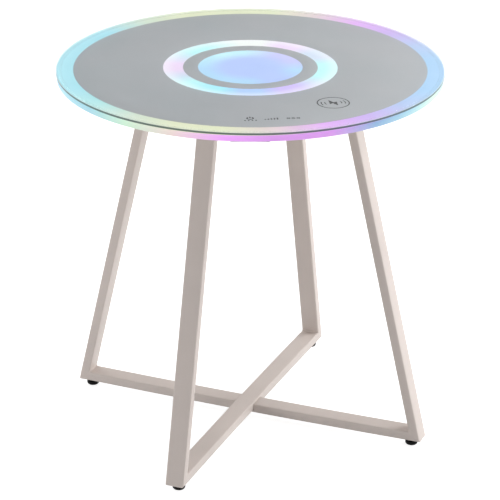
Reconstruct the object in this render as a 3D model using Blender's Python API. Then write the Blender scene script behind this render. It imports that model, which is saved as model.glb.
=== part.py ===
"""Round side table with a light-up glass top on two crossed steel frames.

Metres, +Z up. The origin is on the floor under the middle of the table. Frame A
runs left to right along X, frame B runs front to back along Y and lies in a notch
of frame A's bar. The four feet are at right (+X), back (+Y), left (-X), front (-Y).
"""
import math

import bmesh
import bpy
from mathutils import Matrix, Vector

# Overall sizes
TABLE_DIAMETER = 0.600
TABLE_HEIGHT = 0.597
TOUCH_GAP = 0.0003
CUT_OVERRUN = 0.002

# Facets of round pieces
DISC_SEGMENTS = 64
FOOT_SEGMENTS = 16
SCREW_SEGMENTS = 12
CORNER_STEPS = 2
BAR_STEPS = 10

# Edges up to these angles are shaded smooth, in degrees
SMOOTH_TURNED = 30.0
SMOOTH_TUBE = 40.0
SMOOTH_PAD = 50.0

# Glass top and the printed film under it
GLASS_THICKNESS = 0.004
GLASS_BEVEL = 0.0007
FILM_THICKNESS = 0.0003
OUTER_WINDOW_WIDTH = 0.027
INNER_WINDOW_SHARE = 0.449
INNER_WINDOW_WIDTH = 0.0307
CENTRE_WINDOW_SHARE = 0.2693
SEAL_WIDTH = 0.006

# Light box: opal plate, glowing rim ring, tray with its light walls
RIM_INSET = 0.0015
RIM_BAND_HEIGHT = 0.010
RIM_RING_WIDTH = 0.008
RIM_RING_ROUNDING = 0.0008
DIFFUSER_THICKNESS = 0.0022
TRAY_FLOOR = 0.002
TRAY_LEDGE = 0.0012
TRAY_LEDGE_INSET = 0.004
LIGHT_WALL = 0.002
WINDOW_MARGIN = 0.0005

# Light strips: a flexible board with one unbroken bead of light on it
STRIP_WIDTH = 0.010
STRIP_BOARD = 0.0008
STRIP_BEAD_HEIGHT = 0.0014
STRIP_BEAD_MARGIN = 0.0025
RIM_STRIP_WIDTH = 0.0048
RIM_STRIP_BEAD_MARGIN = 0.0012
CENTRE_BOARD_RADIUS = 0.060
CENTRE_BEAD_RADIUS = 0.040

# Board under the tray, which carries the frames
BOARD_THICKNESS = 0.010
BOARD_MARGIN = 0.006
TRAY_SCREW_INSET = 0.025
TRAY_SCREW_RADIUS = 0.0019
TRAY_SCREW_HEAD_RADIUS = 0.0038
TRAY_SCREW_HEAD_HEIGHT = 0.0016
TRAY_SCREW_BITE = 0.007
TRAY_SCREW_COUNT = 4

# Forms common to the screws, as shares of their radii and head heights
HEAD_FACE_SHARE = 0.8
HEAD_EDGE_SHARE = 0.6
COUNTERSINK_FACE_SHARE = 0.7
TIP_SHARE = 0.5

# Touch board, under its row of marks
TOUCH_AZIMUTH = math.radians(-60.3)
TOUCH_SHARE = 0.795
TOUCH_LENGTH = 0.084
TOUCH_WIDTH = 0.018
CIRCUIT_THICKNESS = 0.0016
CIRCUIT_CORNER = 0.002

# Charging coil, its ferrite disc and its circuit board, under the charging mark
CHARGE_AZIMUTH = math.radians(-31.4)
CHARGE_SHARE = 0.6917
COIL_RADIUS = 0.024
COIL_EYE_RADIUS = 0.010
COIL_HEIGHT = 0.0015
FERRITE_RADIUS = 0.025
FERRITE_HEIGHT = 0.0009
CHARGE_BOARD_LENGTH = 0.060
CHARGE_BOARD_WIDTH = 0.054

# Control box under the tray, its circuit board and its power inlet
CONTROL_AZIMUTH = math.radians(-67.8)
CONTROL_CLEARANCE = 0.009
CONTROL_LENGTH = 0.060
CONTROL_WIDTH = 0.050
CONTROL_HEIGHT = 0.0136
CONTROL_WALL = 0.0016
CONTROL_CORNER = 0.003
CONTROL_TAB_REACH = 0.009
CONTROL_TAB_WIDTH = 0.010
CONTROL_TAB_THICKNESS = 0.002
CONTROL_BOARD_MARGIN = 0.0005
CONTROL_SCREW_RADIUS = 0.0015
CONTROL_SCREW_HEAD_RADIUS = 0.0027
CONTROL_SCREW_HEAD_HEIGHT = 0.0017
CONTROL_SCREW_BITE = 0.0019
INLET_RADIUS = 0.0042
INLET_LENGTH = 0.011
INLET_BORE_RADIUS = 0.0028
INLET_BORE_DEPTH = 0.009
INLET_PIN_RADIUS = 0.001
INLET_PIN_SETBACK = 0.001

# Frames: rectangular steel tube, mitred and welded at the feet
TUBE_WIDTH = 0.030
TUBE_DEPTH = 0.015
TUBE_WALL = 0.0012
TUBE_ROUNDING = 0.002
TUBE_INNER_ROUNDING = 0.0009
FOOT_HEIGHT = 0.012
LEG_TOP_SHARE = 0.5667
BAR_BOW = 0.002

# Plates on the legs' upper ends, and their screws
PLATE_THICKNESS = 0.003
PLATE_LENGTH = 0.074
PLATE_WIDTH = 0.036
PLATE_CORNER = 0.005
PLATE_SCREW_SPACING = 0.052
PLATE_SCREW_RADIUS = 0.0025
PLATE_SCREW_HEAD_RADIUS = 0.0046
PLATE_SCREW_HEAD_HEIGHT = 0.0028
PLATE_SCREW_BITE = 0.0075

# Bolt and nut that hold the crossing bars together
CROSS_BOLT_RADIUS = 0.003
CROSS_BOLT_HEAD_RADIUS = 0.0052
CROSS_BOLT_HEAD_HEIGHT = 0.0028
CROSS_BOLT_SOCKET_RADIUS = 0.002
CROSS_BOLT_SOCKET_DEPTH = 0.0016
CROSS_BOLT_TAIL = 0.0015
CROSS_NUT_RADIUS = 0.0056
CROSS_NUT_HEIGHT = 0.005

# Screw feet: threaded stud with a hexagon collar, standing in a round pad
FOOT_INSET = 0.0185
STUD_RADIUS = 0.003
STUD_GRIP_ABOVE_NUT = 0.0032
STUD_TIP_DEPTH = 0.0045
COLLAR_HEIGHT = 0.0034
COLLAR_RADIUS = 0.0072
COLLAR_SIDES = 6
COLLAR_CHAMFER = 0.0007
PAD_RADIUS = 0.0100
PAD_ROUNDING = 0.0042
PAD_RIM_BEVEL = 0.0006
PAD_ROUNDING_STEPS = 4
FOOT_NUT_RADIUS = 0.006
FOOT_NUT_HEIGHT = 0.005
RUNNING_GAP = 0.0003

# Radii and heights that follow from them
TABLE_RADIUS = TABLE_DIAMETER/2
GLASS_BOTTOM = TABLE_HEIGHT-GLASS_THICKNESS
FILM_TOP = GLASS_BOTTOM-TOUCH_GAP
FILM_BOTTOM = FILM_TOP-FILM_THICKNESS
FILM_OUTER_RADIUS = TABLE_RADIUS-OUTER_WINDOW_WIDTH
INNER_WINDOW_OUTER_RADIUS = INNER_WINDOW_SHARE*TABLE_RADIUS
CENTRE_WINDOW_RADIUS = CENTRE_WINDOW_SHARE*TABLE_RADIUS
INNER_WINDOW_INNER_RADIUS = INNER_WINDOW_OUTER_RADIUS-INNER_WINDOW_WIDTH
DIFFUSER_TOP = FILM_BOTTOM-TOUCH_GAP
DIFFUSER_BOTTOM = DIFFUSER_TOP-DIFFUSER_THICKNESS
RIM_RADIUS = TABLE_RADIUS-RIM_INSET
RIM_INNER_RADIUS = RIM_RADIUS-RIM_RING_WIDTH
RIM_TOP = DIFFUSER_BOTTOM-TOUCH_GAP
RIM_BOTTOM = GLASS_BOTTOM-RIM_BAND_HEIGHT
LEDGE_TOP = RIM_BOTTOM-TOUCH_GAP
TRAY_BOTTOM = LEDGE_TOP-TRAY_LEDGE
TRAY_TOP = TRAY_BOTTOM+TRAY_FLOOR
TRAY_STEP_RADIUS = RIM_INNER_RADIUS-TOUCH_GAP
BOARD_TOP = TRAY_BOTTOM-TOUCH_GAP
BOARD_BOTTOM = BOARD_TOP-BOARD_THICKNESS
PLATE_TOP = BOARD_BOTTOM-TOUCH_GAP
PLATE_BOTTOM = PLATE_TOP-PLATE_THICKNESS
LEG_TOP = PLATE_BOTTOM-TOUCH_GAP
TOUCH_REACH = TOUCH_SHARE*TABLE_RADIUS
CHARGE_REACH = CHARGE_SHARE*TABLE_RADIUS

# Lines of the frames in their own plane: reach from the middle, height above the floor
FOOT_REACH = TABLE_RADIUS
LEG_TOP_REACH = LEG_TOP_SHARE*TABLE_RADIUS
LEAN = math.atan2(FOOT_REACH-LEG_TOP_REACH, LEG_TOP-FOOT_HEIGHT)
LEG_DEPTH_ACROSS = TUBE_DEPTH/math.cos(LEAN)
LEG_MIDDLE_REACH = LEG_TOP_REACH-LEG_DEPTH_ACROSS/2
MITRE_SLOPE = math.tan(LEAN)+1/math.cos(LEAN)
MITRE_SHIFT = TOUCH_GAP/2/math.sin(math.atan2(1, MITRE_SLOPE))
FOOT_AXIS_REACH = FOOT_REACH-FOOT_INSET
BOARD_RADIUS = math.hypot(LEG_MIDDLE_REACH+PLATE_WIDTH/2, PLATE_LENGTH/2)+BOARD_MARGIN
TRAY_SCREW_REACH = BOARD_RADIUS-TRAY_SCREW_INSET
CONTROL_REACH = BOARD_RADIUS+CONTROL_CLEARANCE+CONTROL_TAB_REACH+CONTROL_WIDTH/2
ANGLES = {"right": 0.0, "back": math.pi/2, "left": math.pi, "front": -math.pi/2}


def clear_scene():
    """Start from a scene with no objects in it."""
    for old in list(bpy.data.objects):
        bpy.data.objects.remove(old, do_unlink=True)


def material(name, colour, roughness, metallic=0.0, transmission=0.0, glow=None):
    """A Principled BSDF material with one colour, as the bare model shows it."""
    made = bpy.data.materials.new(name)
    made.use_nodes = True
    shader = made.node_tree.nodes["Principled BSDF"]
    shader.inputs["Base Color"].default_value = (*colour, 1.0)
    shader.inputs["Roughness"].default_value = roughness
    shader.inputs["Metallic"].default_value = metallic
    shader.inputs["Transmission Weight"].default_value = transmission
    if glow:
        shader.inputs["Emission Color"].default_value = (*glow, 1.0)
        shader.inputs["Emission Strength"].default_value = 1.0
    made.diffuse_color = (*colour, 1.0)
    return made


def finish_object(name, bm, mat, smooth_degrees=None):
    """Turn a closed bmesh into a named object with its faces pointing out."""
    bmesh.ops.recalc_face_normals(bm, faces=bm.faces)
    mesh = bpy.data.meshes.new(name)
    bm.to_mesh(mesh)
    bm.free()
    if mat:
        mesh.materials.append(mat)
    if smooth_degrees:
        mesh.shade_smooth()
        mesh.set_sharp_from_angle(angle=math.radians(smooth_degrees))
    made = bpy.data.objects.new(name, mesh)
    bpy.context.scene.collection.objects.link(made)
    return made


def turned_bmesh(outline, segments):
    """Turn an outline of (radius, height) points round Z.

    An outline whose two ends lie on the axis makes a solid, and any other is
    closed on itself and makes a ring.
    """
    bm = bmesh.new()
    rings = []
    for radius, height in outline:
        if radius == 0:
            rings.append([bm.verts.new((0, 0, height))])
            continue
        ring = []
        for step in range(segments):
            angle = math.tau*step/segments
            ring.append(bm.verts.new((radius*math.cos(angle), radius*math.sin(angle), height)))
        rings.append(ring)
    pairs = list(zip(rings, rings[1:]))
    if len(rings[0]) > 1:
        pairs.append((rings[-1], rings[0]))
    for low, high in pairs:
        for step in range(segments):
            after = (step+1) % segments
            corners = [low[step % len(low)], low[after % len(low)]]
            corners += [high[after % len(high)], high[step % len(high)]]
            bm.faces.new(list(dict.fromkeys(corners)))
    return bm


def turned(name, outline, mat, segments=DISC_SEGMENTS, smooth_degrees=SMOOTH_TURNED):
    """A named turned piece."""
    return finish_object(name, turned_bmesh(outline, segments), mat, smooth_degrees)


def ring_outline(inner, outer, low, high):
    """The square section of a flat ring."""
    return [(inner, low), (outer, low), (outer, high), (inner, high)]


def rounded_rectangle(length, width, radius, steps=CORNER_STEPS):
    """Points round a rectangle with rounded corners, centred on zero."""
    points = []
    for quarter in range(4):
        side_x = 1 if quarter in (0, 3) else -1
        side_y = 1 if quarter in (0, 1) else -1
        for step in range(steps+1):
            angle = math.pi/2*(quarter+step/steps)
            points.append((side_x*(length/2-radius)+radius*math.cos(angle),
                           side_y*(width/2-radius)+radius*math.sin(angle)))
    return points


def loft_bmesh(sections):
    """A solid through closed sections, each a list of as many points."""
    bm = bmesh.new()
    loops = [[bm.verts.new(point) for point in section] for section in sections]
    count = len(loops[0])
    for low, high in zip(loops, loops[1:]):
        for index in range(count):
            after = (index+1) % count
            bm.faces.new((low[index], low[after], high[after], high[index]))
    bm.faces.new(loops[0])
    bm.faces.new(loops[-1])
    return bm


def block_bmesh(length, width, radius, low, high):
    """An upright block with rounded corners."""
    outline = rounded_rectangle(length, width, radius)
    return loft_bmesh([[(x, y, height) for x, y in outline] for height in (low, high)])


def hollow_bmesh(outer_sections, inner_sections):
    """An open-ended tube through matching outer and inner sections."""
    bm = bmesh.new()
    outer = [[bm.verts.new(point) for point in section] for section in outer_sections]
    inner = [[bm.verts.new(point) for point in section] for section in inner_sections]
    count = len(outer[0])
    for wall in (outer, inner):
        for low, high in zip(wall, wall[1:]):
            for index in range(count):
                after = (index+1) % count
                bm.faces.new((low[index], low[after], high[after], high[index]))
    for end in (0, -1):
        for index in range(count):
            after = (index+1) % count
            bm.faces.new((outer[end][index], outer[end][after], inner[end][after], inner[end][index]))
    return bm


def cutter(name, bm):
    """A shape that only cuts: it isn't a piece of the table."""
    made = finish_object(name, bm, None)
    made.hide_render = True
    made.display_type = "WIRE"
    return made


def boolean(target, tool, operation="DIFFERENCE"):
    """Cut a tool out of a piece, or join it on."""
    step = target.modifiers.new(tool.name, "BOOLEAN")
    step.object = tool
    step.operation = operation
    step.solver = "EXACT"


def drills(name, places, radius, low, high, segments=SCREW_SEGMENTS):
    """Upright round cutters at several places, as one cutter."""
    bm = bmesh.new()
    for x, y in places:
        one = turned_bmesh([(0, low), (radius, low), (radius, high), (0, high)], segments)
        bmesh.ops.translate(one, verts=one.verts, vec=(x, y, 0))
        mesh = bpy.data.meshes.new(name)
        one.to_mesh(mesh)
        one.free()
        bm.from_mesh(mesh)
        bpy.data.meshes.remove(mesh)
    return cutter(name, bm)


def polar(reach, angle):
    """The place at a reach from the middle, in a direction."""
    return reach*math.cos(angle), reach*math.sin(angle)


def screw_outline(shank_radius, shank_top, head_radius, head_height, head_top):
    """A screw pointing up, with its head below."""
    return [(0, head_top-head_height), (head_radius*HEAD_FACE_SHARE, head_top-head_height),
            (head_radius, head_top-head_height*HEAD_EDGE_SHARE), (head_radius, head_top),
            (shank_radius, head_top), (shank_radius, shank_top-shank_radius),
            (shank_radius*TIP_SHARE, shank_top), (0, shank_top)]


# Materials, one for each finish of the real table
FROSTED_GLOW = (0.78, 0.80, 0.98)
CLEAR_GLASS = material("clear_glass", (0.86, 0.90, 0.89), 0.03, transmission=1.0)
GREY_PRINT = material("grey_print", (0.42, 0.45, 0.47), 0.35)
CLEAR_SEAL = material("clear_seal", (0.85, 0.88, 0.88), 0.25, transmission=0.8)
OPAL_PLATE = material("opal_plate", (0.86, 0.86, 0.92), 0.45, glow=FROSTED_GLOW)
FROSTED_RIM = material("frosted_rim", (0.84, 0.80, 0.95), 0.50, glow=FROSTED_GLOW)
WHITE_TRAY = material("white_tray", (0.80, 0.80, 0.79), 0.45)
PLAIN_BOARD = material("plain_board", (0.62, 0.50, 0.36), 0.75)
STRIP_WHITE = material("strip_white", (0.90, 0.90, 0.86), 0.40)
CIRCUIT_GREEN = material("circuit_green", (0.03, 0.16, 0.08), 0.45)
COPPER_COIL = material("copper_coil", (0.72, 0.33, 0.16), 0.30, metallic=1.0)
DARK_FERRITE = material("dark_ferrite", (0.06, 0.06, 0.065), 0.60)
BLACK_PLASTIC = material("black_plastic", (0.035, 0.035, 0.035), 0.50)
FRAME_PAINT = material("frame_paint", (0.55, 0.52, 0.49), 0.45)
ZINC = material("zinc", (0.72, 0.73, 0.74), 0.30, metallic=1.0)
BLACK_PAD = material("black_pad", (0.012, 0.012, 0.012), 0.45)


def glass_top():
    """The clear glass disc with its ground edges."""
    edge = TABLE_RADIUS-GLASS_BEVEL
    turned("glass_top", [
        (0, GLASS_BOTTOM), (edge, GLASS_BOTTOM), (TABLE_RADIUS, GLASS_BOTTOM+GLASS_BEVEL),
        (TABLE_RADIUS, TABLE_HEIGHT-GLASS_BEVEL), (edge, TABLE_HEIGHT), (0, TABLE_HEIGHT)],
        CLEAR_GLASS)


def printed_films():
    """Two grey rings of film that leave the light windows free, and the clear seal at the edge."""
    turned("print_film_outer", ring_outline(
        INNER_WINDOW_OUTER_RADIUS, FILM_OUTER_RADIUS, FILM_BOTTOM, FILM_TOP), GREY_PRINT)
    turned("print_film_inner", ring_outline(
        CENTRE_WINDOW_RADIUS, INNER_WINDOW_INNER_RADIUS, FILM_BOTTOM, FILM_TOP), GREY_PRINT)
    turned("edge_seal", ring_outline(
        RIM_RADIUS-RIM_INSET-SEAL_WIDTH, RIM_RADIUS-RIM_INSET, FILM_BOTTOM, FILM_TOP), CLEAR_SEAL)


def diffuser_plate():
    """The opal plate that spreads the light under the whole top."""
    turned("diffuser_plate", [
        (0, DIFFUSER_BOTTOM), (RIM_RADIUS, DIFFUSER_BOTTOM), (RIM_RADIUS, DIFFUSER_TOP),
        (0, DIFFUSER_TOP)], OPAL_PLATE)


def rim_light_ring():
    """The frosted ring round the side, which glows with the strips behind it."""
    rounded = RIM_RADIUS-RIM_RING_ROUNDING
    turned("rim_light_ring", [
        (RIM_INNER_RADIUS, RIM_BOTTOM), (rounded, RIM_BOTTOM),
        (RIM_RADIUS, RIM_BOTTOM+RIM_RING_ROUNDING), (RIM_RADIUS, RIM_TOP),
        (RIM_INNER_RADIUS, RIM_TOP)], FROSTED_RIM)


def light_wall_radii():
    """Inner radius of each wall that keeps the light in its window."""
    return (CENTRE_WINDOW_RADIUS+WINDOW_MARGIN,
            INNER_WINDOW_INNER_RADIUS-WINDOW_MARGIN-LIGHT_WALL,
            INNER_WINDOW_OUTER_RADIUS+WINDOW_MARGIN,
            FILM_OUTER_RADIUS-WINDOW_MARGIN-LIGHT_WALL)


def tray_screw_places():
    """Where the tray is screwed to the board, between the frames."""
    return [polar(TRAY_SCREW_REACH, math.tau*(index+0.5)/TRAY_SCREW_COUNT)
            for index in range(TRAY_SCREW_COUNT)]


def control_place(reach):
    """A place on the control box's middle line."""
    return polar(reach, CONTROL_AZIMUTH)


def control_screw_reaches():
    """How far out the control box's two screws lie."""
    offset = CONTROL_WIDTH/2+CONTROL_TAB_REACH/2
    return {"inner": CONTROL_REACH-offset, "outer": CONTROL_REACH+offset}


def base_tray():
    """The white tray: a thin floor, a ledge for the rim ring and walls round the windows."""
    outline = [(0, TRAY_BOTTOM), (RIM_RADIUS-TRAY_LEDGE_INSET, TRAY_BOTTOM),
               (RIM_RADIUS-TRAY_LEDGE_INSET, LEDGE_TOP), (TRAY_STEP_RADIUS, LEDGE_TOP),
               (TRAY_STEP_RADIUS, TRAY_TOP)]
    for inner in reversed(light_wall_radii()):
        outer = inner+LIGHT_WALL
        outline += [(outer, TRAY_TOP), (outer, RIM_TOP), (inner, RIM_TOP), (inner, TRAY_TOP)]
    outline.append((0, TRAY_TOP))
    tray = turned("base_tray", outline, WHITE_TRAY)
    low, high = TRAY_BOTTOM-CUT_OVERRUN, TRAY_TOP+CUT_OVERRUN
    boolean(tray, drills("tray_screw_holes", tray_screw_places(), TRAY_SCREW_RADIUS+TOUCH_GAP, low, high))
    places = [control_place(reach) for reach in control_screw_reaches().values()]
    boolean(tray, drills("tray_control_holes", places, CONTROL_SCREW_RADIUS+TOUCH_GAP, low, high))


def base_board():
    """The board that the frames are screwed to, with a blind hole for each screw."""
    board = turned("base_board", [
        (0, BOARD_BOTTOM), (BOARD_RADIUS, BOARD_BOTTOM), (BOARD_RADIUS, BOARD_TOP),
        (0, BOARD_TOP)], PLAIN_BOARD)
    places = [place for angle in ANGLES.values() for place in plate_screw_places(angle)]
    boolean(board, drills("board_plate_holes", places, PLATE_SCREW_RADIUS+TOUCH_GAP,
                          BOARD_BOTTOM-CUT_OVERRUN, BOARD_BOTTOM+PLATE_SCREW_BITE+TOUCH_GAP))
    boolean(board, drills("board_tray_holes", tray_screw_places(), TRAY_SCREW_RADIUS+TOUCH_GAP,
                          BOARD_TOP-TRAY_SCREW_BITE-TOUCH_GAP, BOARD_TOP+CUT_OVERRUN))


def tray_screws():
    """The screws that hold the tray down on the board."""
    head_bottom = TRAY_TOP+TOUCH_GAP
    head_top = head_bottom+TRAY_SCREW_HEAD_HEIGHT
    tip = BOARD_TOP-TRAY_SCREW_BITE
    for index, (x, y) in enumerate(tray_screw_places()):
        screw = turned("tray_screw_%d" % (index+1), [
            (0, tip), (TRAY_SCREW_RADIUS*TIP_SHARE, tip), (TRAY_SCREW_RADIUS, tip+TRAY_SCREW_RADIUS),
            (TRAY_SCREW_RADIUS, head_bottom), (TRAY_SCREW_HEAD_RADIUS, head_bottom),
            (TRAY_SCREW_HEAD_RADIUS*COUNTERSINK_FACE_SHARE, head_top), (0, head_top)],
            ZINC, SCREW_SEGMENTS)
        screw.location = (x, y, 0)


def strip_outline(start, width, margin):
    """Section of a light strip: (distance along its width, height above its back)."""
    top = STRIP_BOARD+STRIP_BEAD_HEIGHT
    return [(start, 0), (start+width, 0), (start+width, STRIP_BOARD),
            (start+width-margin, top), (start+margin, top), (start, STRIP_BOARD)]


def light_strips():
    """The rim strip stands on the outermost light wall, the others lie on the tray's floor."""
    floor = TRAY_TOP+TOUCH_GAP
    wall_outer = light_wall_radii()[-1]+LIGHT_WALL
    back = wall_outer+TOUCH_GAP
    standing = [(back+lift, floor+along) for along, lift in
                strip_outline(0, RIM_STRIP_WIDTH, RIM_STRIP_BEAD_MARGIN)]
    turned("led_strip_rim", standing, STRIP_WHITE)
    rim_strip_front = back+STRIP_BOARD+STRIP_BEAD_HEIGHT
    outer_middle = (rim_strip_front+TRAY_STEP_RADIUS)/2
    inner_middle = (INNER_WINDOW_INNER_RADIUS+INNER_WINDOW_OUTER_RADIUS)/2
    for name, middle in (("led_strip_outer", outer_middle), ("led_strip_inner", inner_middle)):
        lying = strip_outline(middle-STRIP_WIDTH/2, STRIP_WIDTH, STRIP_BEAD_MARGIN)
        turned(name, [(along, floor+lift) for along, lift in lying], STRIP_WHITE)


def centre_light_board():
    """The round light board under the middle window, with one ring of light."""
    low = TRAY_TOP+TOUCH_GAP
    high = low+CIRCUIT_THICKNESS
    bead = CENTRE_BEAD_RADIUS+STRIP_WIDTH/2
    inside = CENTRE_BEAD_RADIUS-STRIP_WIDTH/2
    turned("led_board_centre", [
        (0, low), (CENTRE_BOARD_RADIUS, low), (CENTRE_BOARD_RADIUS, high), (bead, high),
        (bead-STRIP_BEAD_MARGIN, high+STRIP_BEAD_HEIGHT),
        (inside+STRIP_BEAD_MARGIN, high+STRIP_BEAD_HEIGHT), (inside, high), (0, high)],
        STRIP_WHITE, DISC_SEGMENTS//2)


def touch_board():
    """The touch sensor board, held up under the opal plate."""
    top = DIFFUSER_BOTTOM-TOUCH_GAP
    board = finish_object("touch_board", block_bmesh(
        TOUCH_LENGTH, TOUCH_WIDTH, CIRCUIT_CORNER, top-CIRCUIT_THICKNESS, top), CIRCUIT_GREEN)
    board.location = (*polar(TOUCH_REACH, TOUCH_AZIMUTH), 0)
    board.rotation_euler.z = TOUCH_AZIMUTH+math.pi/2


def wireless_charger():
    """Circuit board, ferrite disc and flat coil, stacked on the tray's floor."""
    low = TRAY_TOP+TOUCH_GAP
    board = finish_object("charging_board", block_bmesh(
        CHARGE_BOARD_LENGTH, CHARGE_BOARD_WIDTH, CIRCUIT_CORNER, low, low+CIRCUIT_THICKNESS), CIRCUIT_GREEN)
    ferrite_low = low+CIRCUIT_THICKNESS+TOUCH_GAP
    ferrite_top = ferrite_low+FERRITE_HEIGHT
    ferrite = turned("charging_ferrite", [
        (0, ferrite_low), (FERRITE_RADIUS, ferrite_low), (FERRITE_RADIUS, ferrite_top),
        (0, ferrite_top)], DARK_FERRITE, DISC_SEGMENTS//2)
    coil_low = ferrite_top+TOUCH_GAP
    coil = turned("charging_coil", ring_outline(
        COIL_EYE_RADIUS, COIL_RADIUS, coil_low, coil_low+COIL_HEIGHT), COPPER_COIL, DISC_SEGMENTS//2)
    for piece in (board, ferrite, coil):
        piece.location = (*polar(CHARGE_REACH, CHARGE_AZIMUTH), 0)
        piece.rotation_euler.z = CHARGE_AZIMUTH


def control_box():
    """An open plastic box under the tray, with two tabs, a circuit board and a power inlet."""
    holder = bpy.data.objects.new("control_box_place", None)
    bpy.context.scene.collection.objects.link(holder)
    holder.location = (*control_place(CONTROL_REACH), 0)
    holder.rotation_euler.z = CONTROL_AZIMUTH
    top = TRAY_BOTTOM-TOUCH_GAP
    bottom = top-CONTROL_HEIGHT
    box = finish_object("control_box", block_bmesh(
        CONTROL_WIDTH, CONTROL_LENGTH, CONTROL_CORNER, bottom, top), BLACK_PLASTIC)
    tabs = cutter("control_box_tabs", block_bmesh(
        CONTROL_WIDTH+2*CONTROL_TAB_REACH, CONTROL_TAB_WIDTH, CONTROL_CORNER,
        top-CONTROL_TAB_THICKNESS, top))
    hollow = cutter("control_box_hollow", block_bmesh(
        CONTROL_WIDTH-2*CONTROL_WALL, CONTROL_LENGTH-2*CONTROL_WALL, CONTROL_CORNER-CONTROL_WALL,
        bottom+CONTROL_WALL, top+CUT_OVERRUN))
    offset = control_screw_reaches()["outer"]-CONTROL_REACH
    holes = drills("control_box_screw_holes", [(offset, 0), (-offset, 0)],
                   CONTROL_SCREW_RADIUS+TOUCH_GAP, bottom, top+CUT_OVERRUN)
    # The inlet lies in the end wall, with its mouth flush with the outside.
    board_low = bottom+CONTROL_WALL+TOUCH_GAP
    board_high = board_low+CIRCUIT_THICKNESS
    inlet_height = board_high+TOUCH_GAP+INLET_RADIUS
    mouth = Matrix.Translation((0, -CONTROL_LENGTH/2, inlet_height)) @ Matrix.Rotation(math.pi/2, 4, "X")
    inlet_hole = cutter("control_box_inlet_hole", turned_bmesh([
        (0, -CONTROL_WALL-CUT_OVERRUN), (INLET_RADIUS+TOUCH_GAP, -CONTROL_WALL-CUT_OVERRUN),
        (INLET_RADIUS+TOUCH_GAP, CUT_OVERRUN), (0, CUT_OVERRUN)], FOOT_SEGMENTS))
    inlet_hole.data.transform(mouth)
    for tool, operation in ((tabs, "UNION"), (hollow, "DIFFERENCE"), (holes, "DIFFERENCE"),
                            (inlet_hole, "DIFFERENCE")):
        boolean(box, tool, operation)
    inlet = turned("dc_inlet", [
        (0, -INLET_LENGTH), (INLET_RADIUS, -INLET_LENGTH), (INLET_RADIUS, 0), (INLET_BORE_RADIUS, 0),
        (INLET_BORE_RADIUS, -INLET_BORE_DEPTH), (INLET_PIN_RADIUS, -INLET_BORE_DEPTH),
        (INLET_PIN_RADIUS, -INLET_PIN_SETBACK), (0, -INLET_PIN_SETBACK)], BLACK_PLASTIC, FOOT_SEGMENTS)
    inlet.data.transform(mouth)
    inside = CONTROL_WALL+CONTROL_BOARD_MARGIN
    board = finish_object("control_board", block_bmesh(
        CONTROL_WIDTH-2*inside, CONTROL_LENGTH-2*inside, CIRCUIT_CORNER, board_low, board_high),
        CIRCUIT_GREEN)
    for piece in (box, tabs, hollow, holes, inlet_hole, inlet, board):
        piece.parent = holder
    head_top = top-CONTROL_TAB_THICKNESS-TOUCH_GAP
    for name, reach in control_screw_reaches().items():
        screw = turned("control_box_screw_"+name, screw_outline(
            CONTROL_SCREW_RADIUS, TRAY_BOTTOM+CONTROL_SCREW_BITE, CONTROL_SCREW_HEAD_RADIUS,
            CONTROL_SCREW_HEAD_HEIGHT, head_top), ZINC, SCREW_SEGMENTS)
        screw.location = (*control_place(reach), 0)


def tube_profile(inner):
    """Section of the tube: (depth from its outer face, place across its width)."""
    wall = TUBE_WALL if inner else 0
    radius = TUBE_INNER_ROUNDING if inner else TUBE_ROUNDING
    points = rounded_rectangle(TUBE_DEPTH-2*wall, TUBE_WIDTH-2*wall, radius)
    return [(along+TUBE_DEPTH/2, across) for along, across in points]


def mitre_point(depth):
    """Where the tubes' lines at one depth meet at the foot: (reach, height)."""
    return FOOT_REACH-depth*MITRE_SLOPE, FOOT_HEIGHT+depth


def leg_sections(inner):
    """The leg's mitred lower end and its level upper end, in the plane of the right leg."""
    profile = tube_profile(inner)
    low = []
    high = []
    for depth, across in profile:
        reach, height = mitre_point(depth)
        low.append((reach-MITRE_SHIFT*math.sin(LEAN), across, height+MITRE_SHIFT*math.cos(LEAN)))
        high.append((LEG_TOP_REACH-depth/math.cos(LEAN), across, LEG_TOP))
    return [low, high]


def bar_sections(inner, bow):
    """The bar from mitre to mitre along X. Its middle is bent up by the bow."""
    profile = tube_profile(inner)
    bend_reach = mitre_point(TUBE_DEPTH)[0]-TUBE_WALL
    ends = {-1: [], 1: []}
    for side, section in ends.items():
        for depth, across in profile:
            reach, height = mitre_point(depth)
            section.append((side*(reach-MITRE_SHIFT), across, height))
    middle = []
    for step in range(BAR_STEPS+1):
        share = 2*step/BAR_STEPS-1
        lift = FOOT_HEIGHT+bow*(1-share*share)
        middle.append([(share*bend_reach, across, lift+depth) for depth, across in profile])
    return [ends[-1]]+middle+[ends[1]]


def foot_places(angles):
    """Where the screw feet of some legs stand."""
    return [polar(FOOT_AXIS_REACH, angle) for angle in angles]


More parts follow.
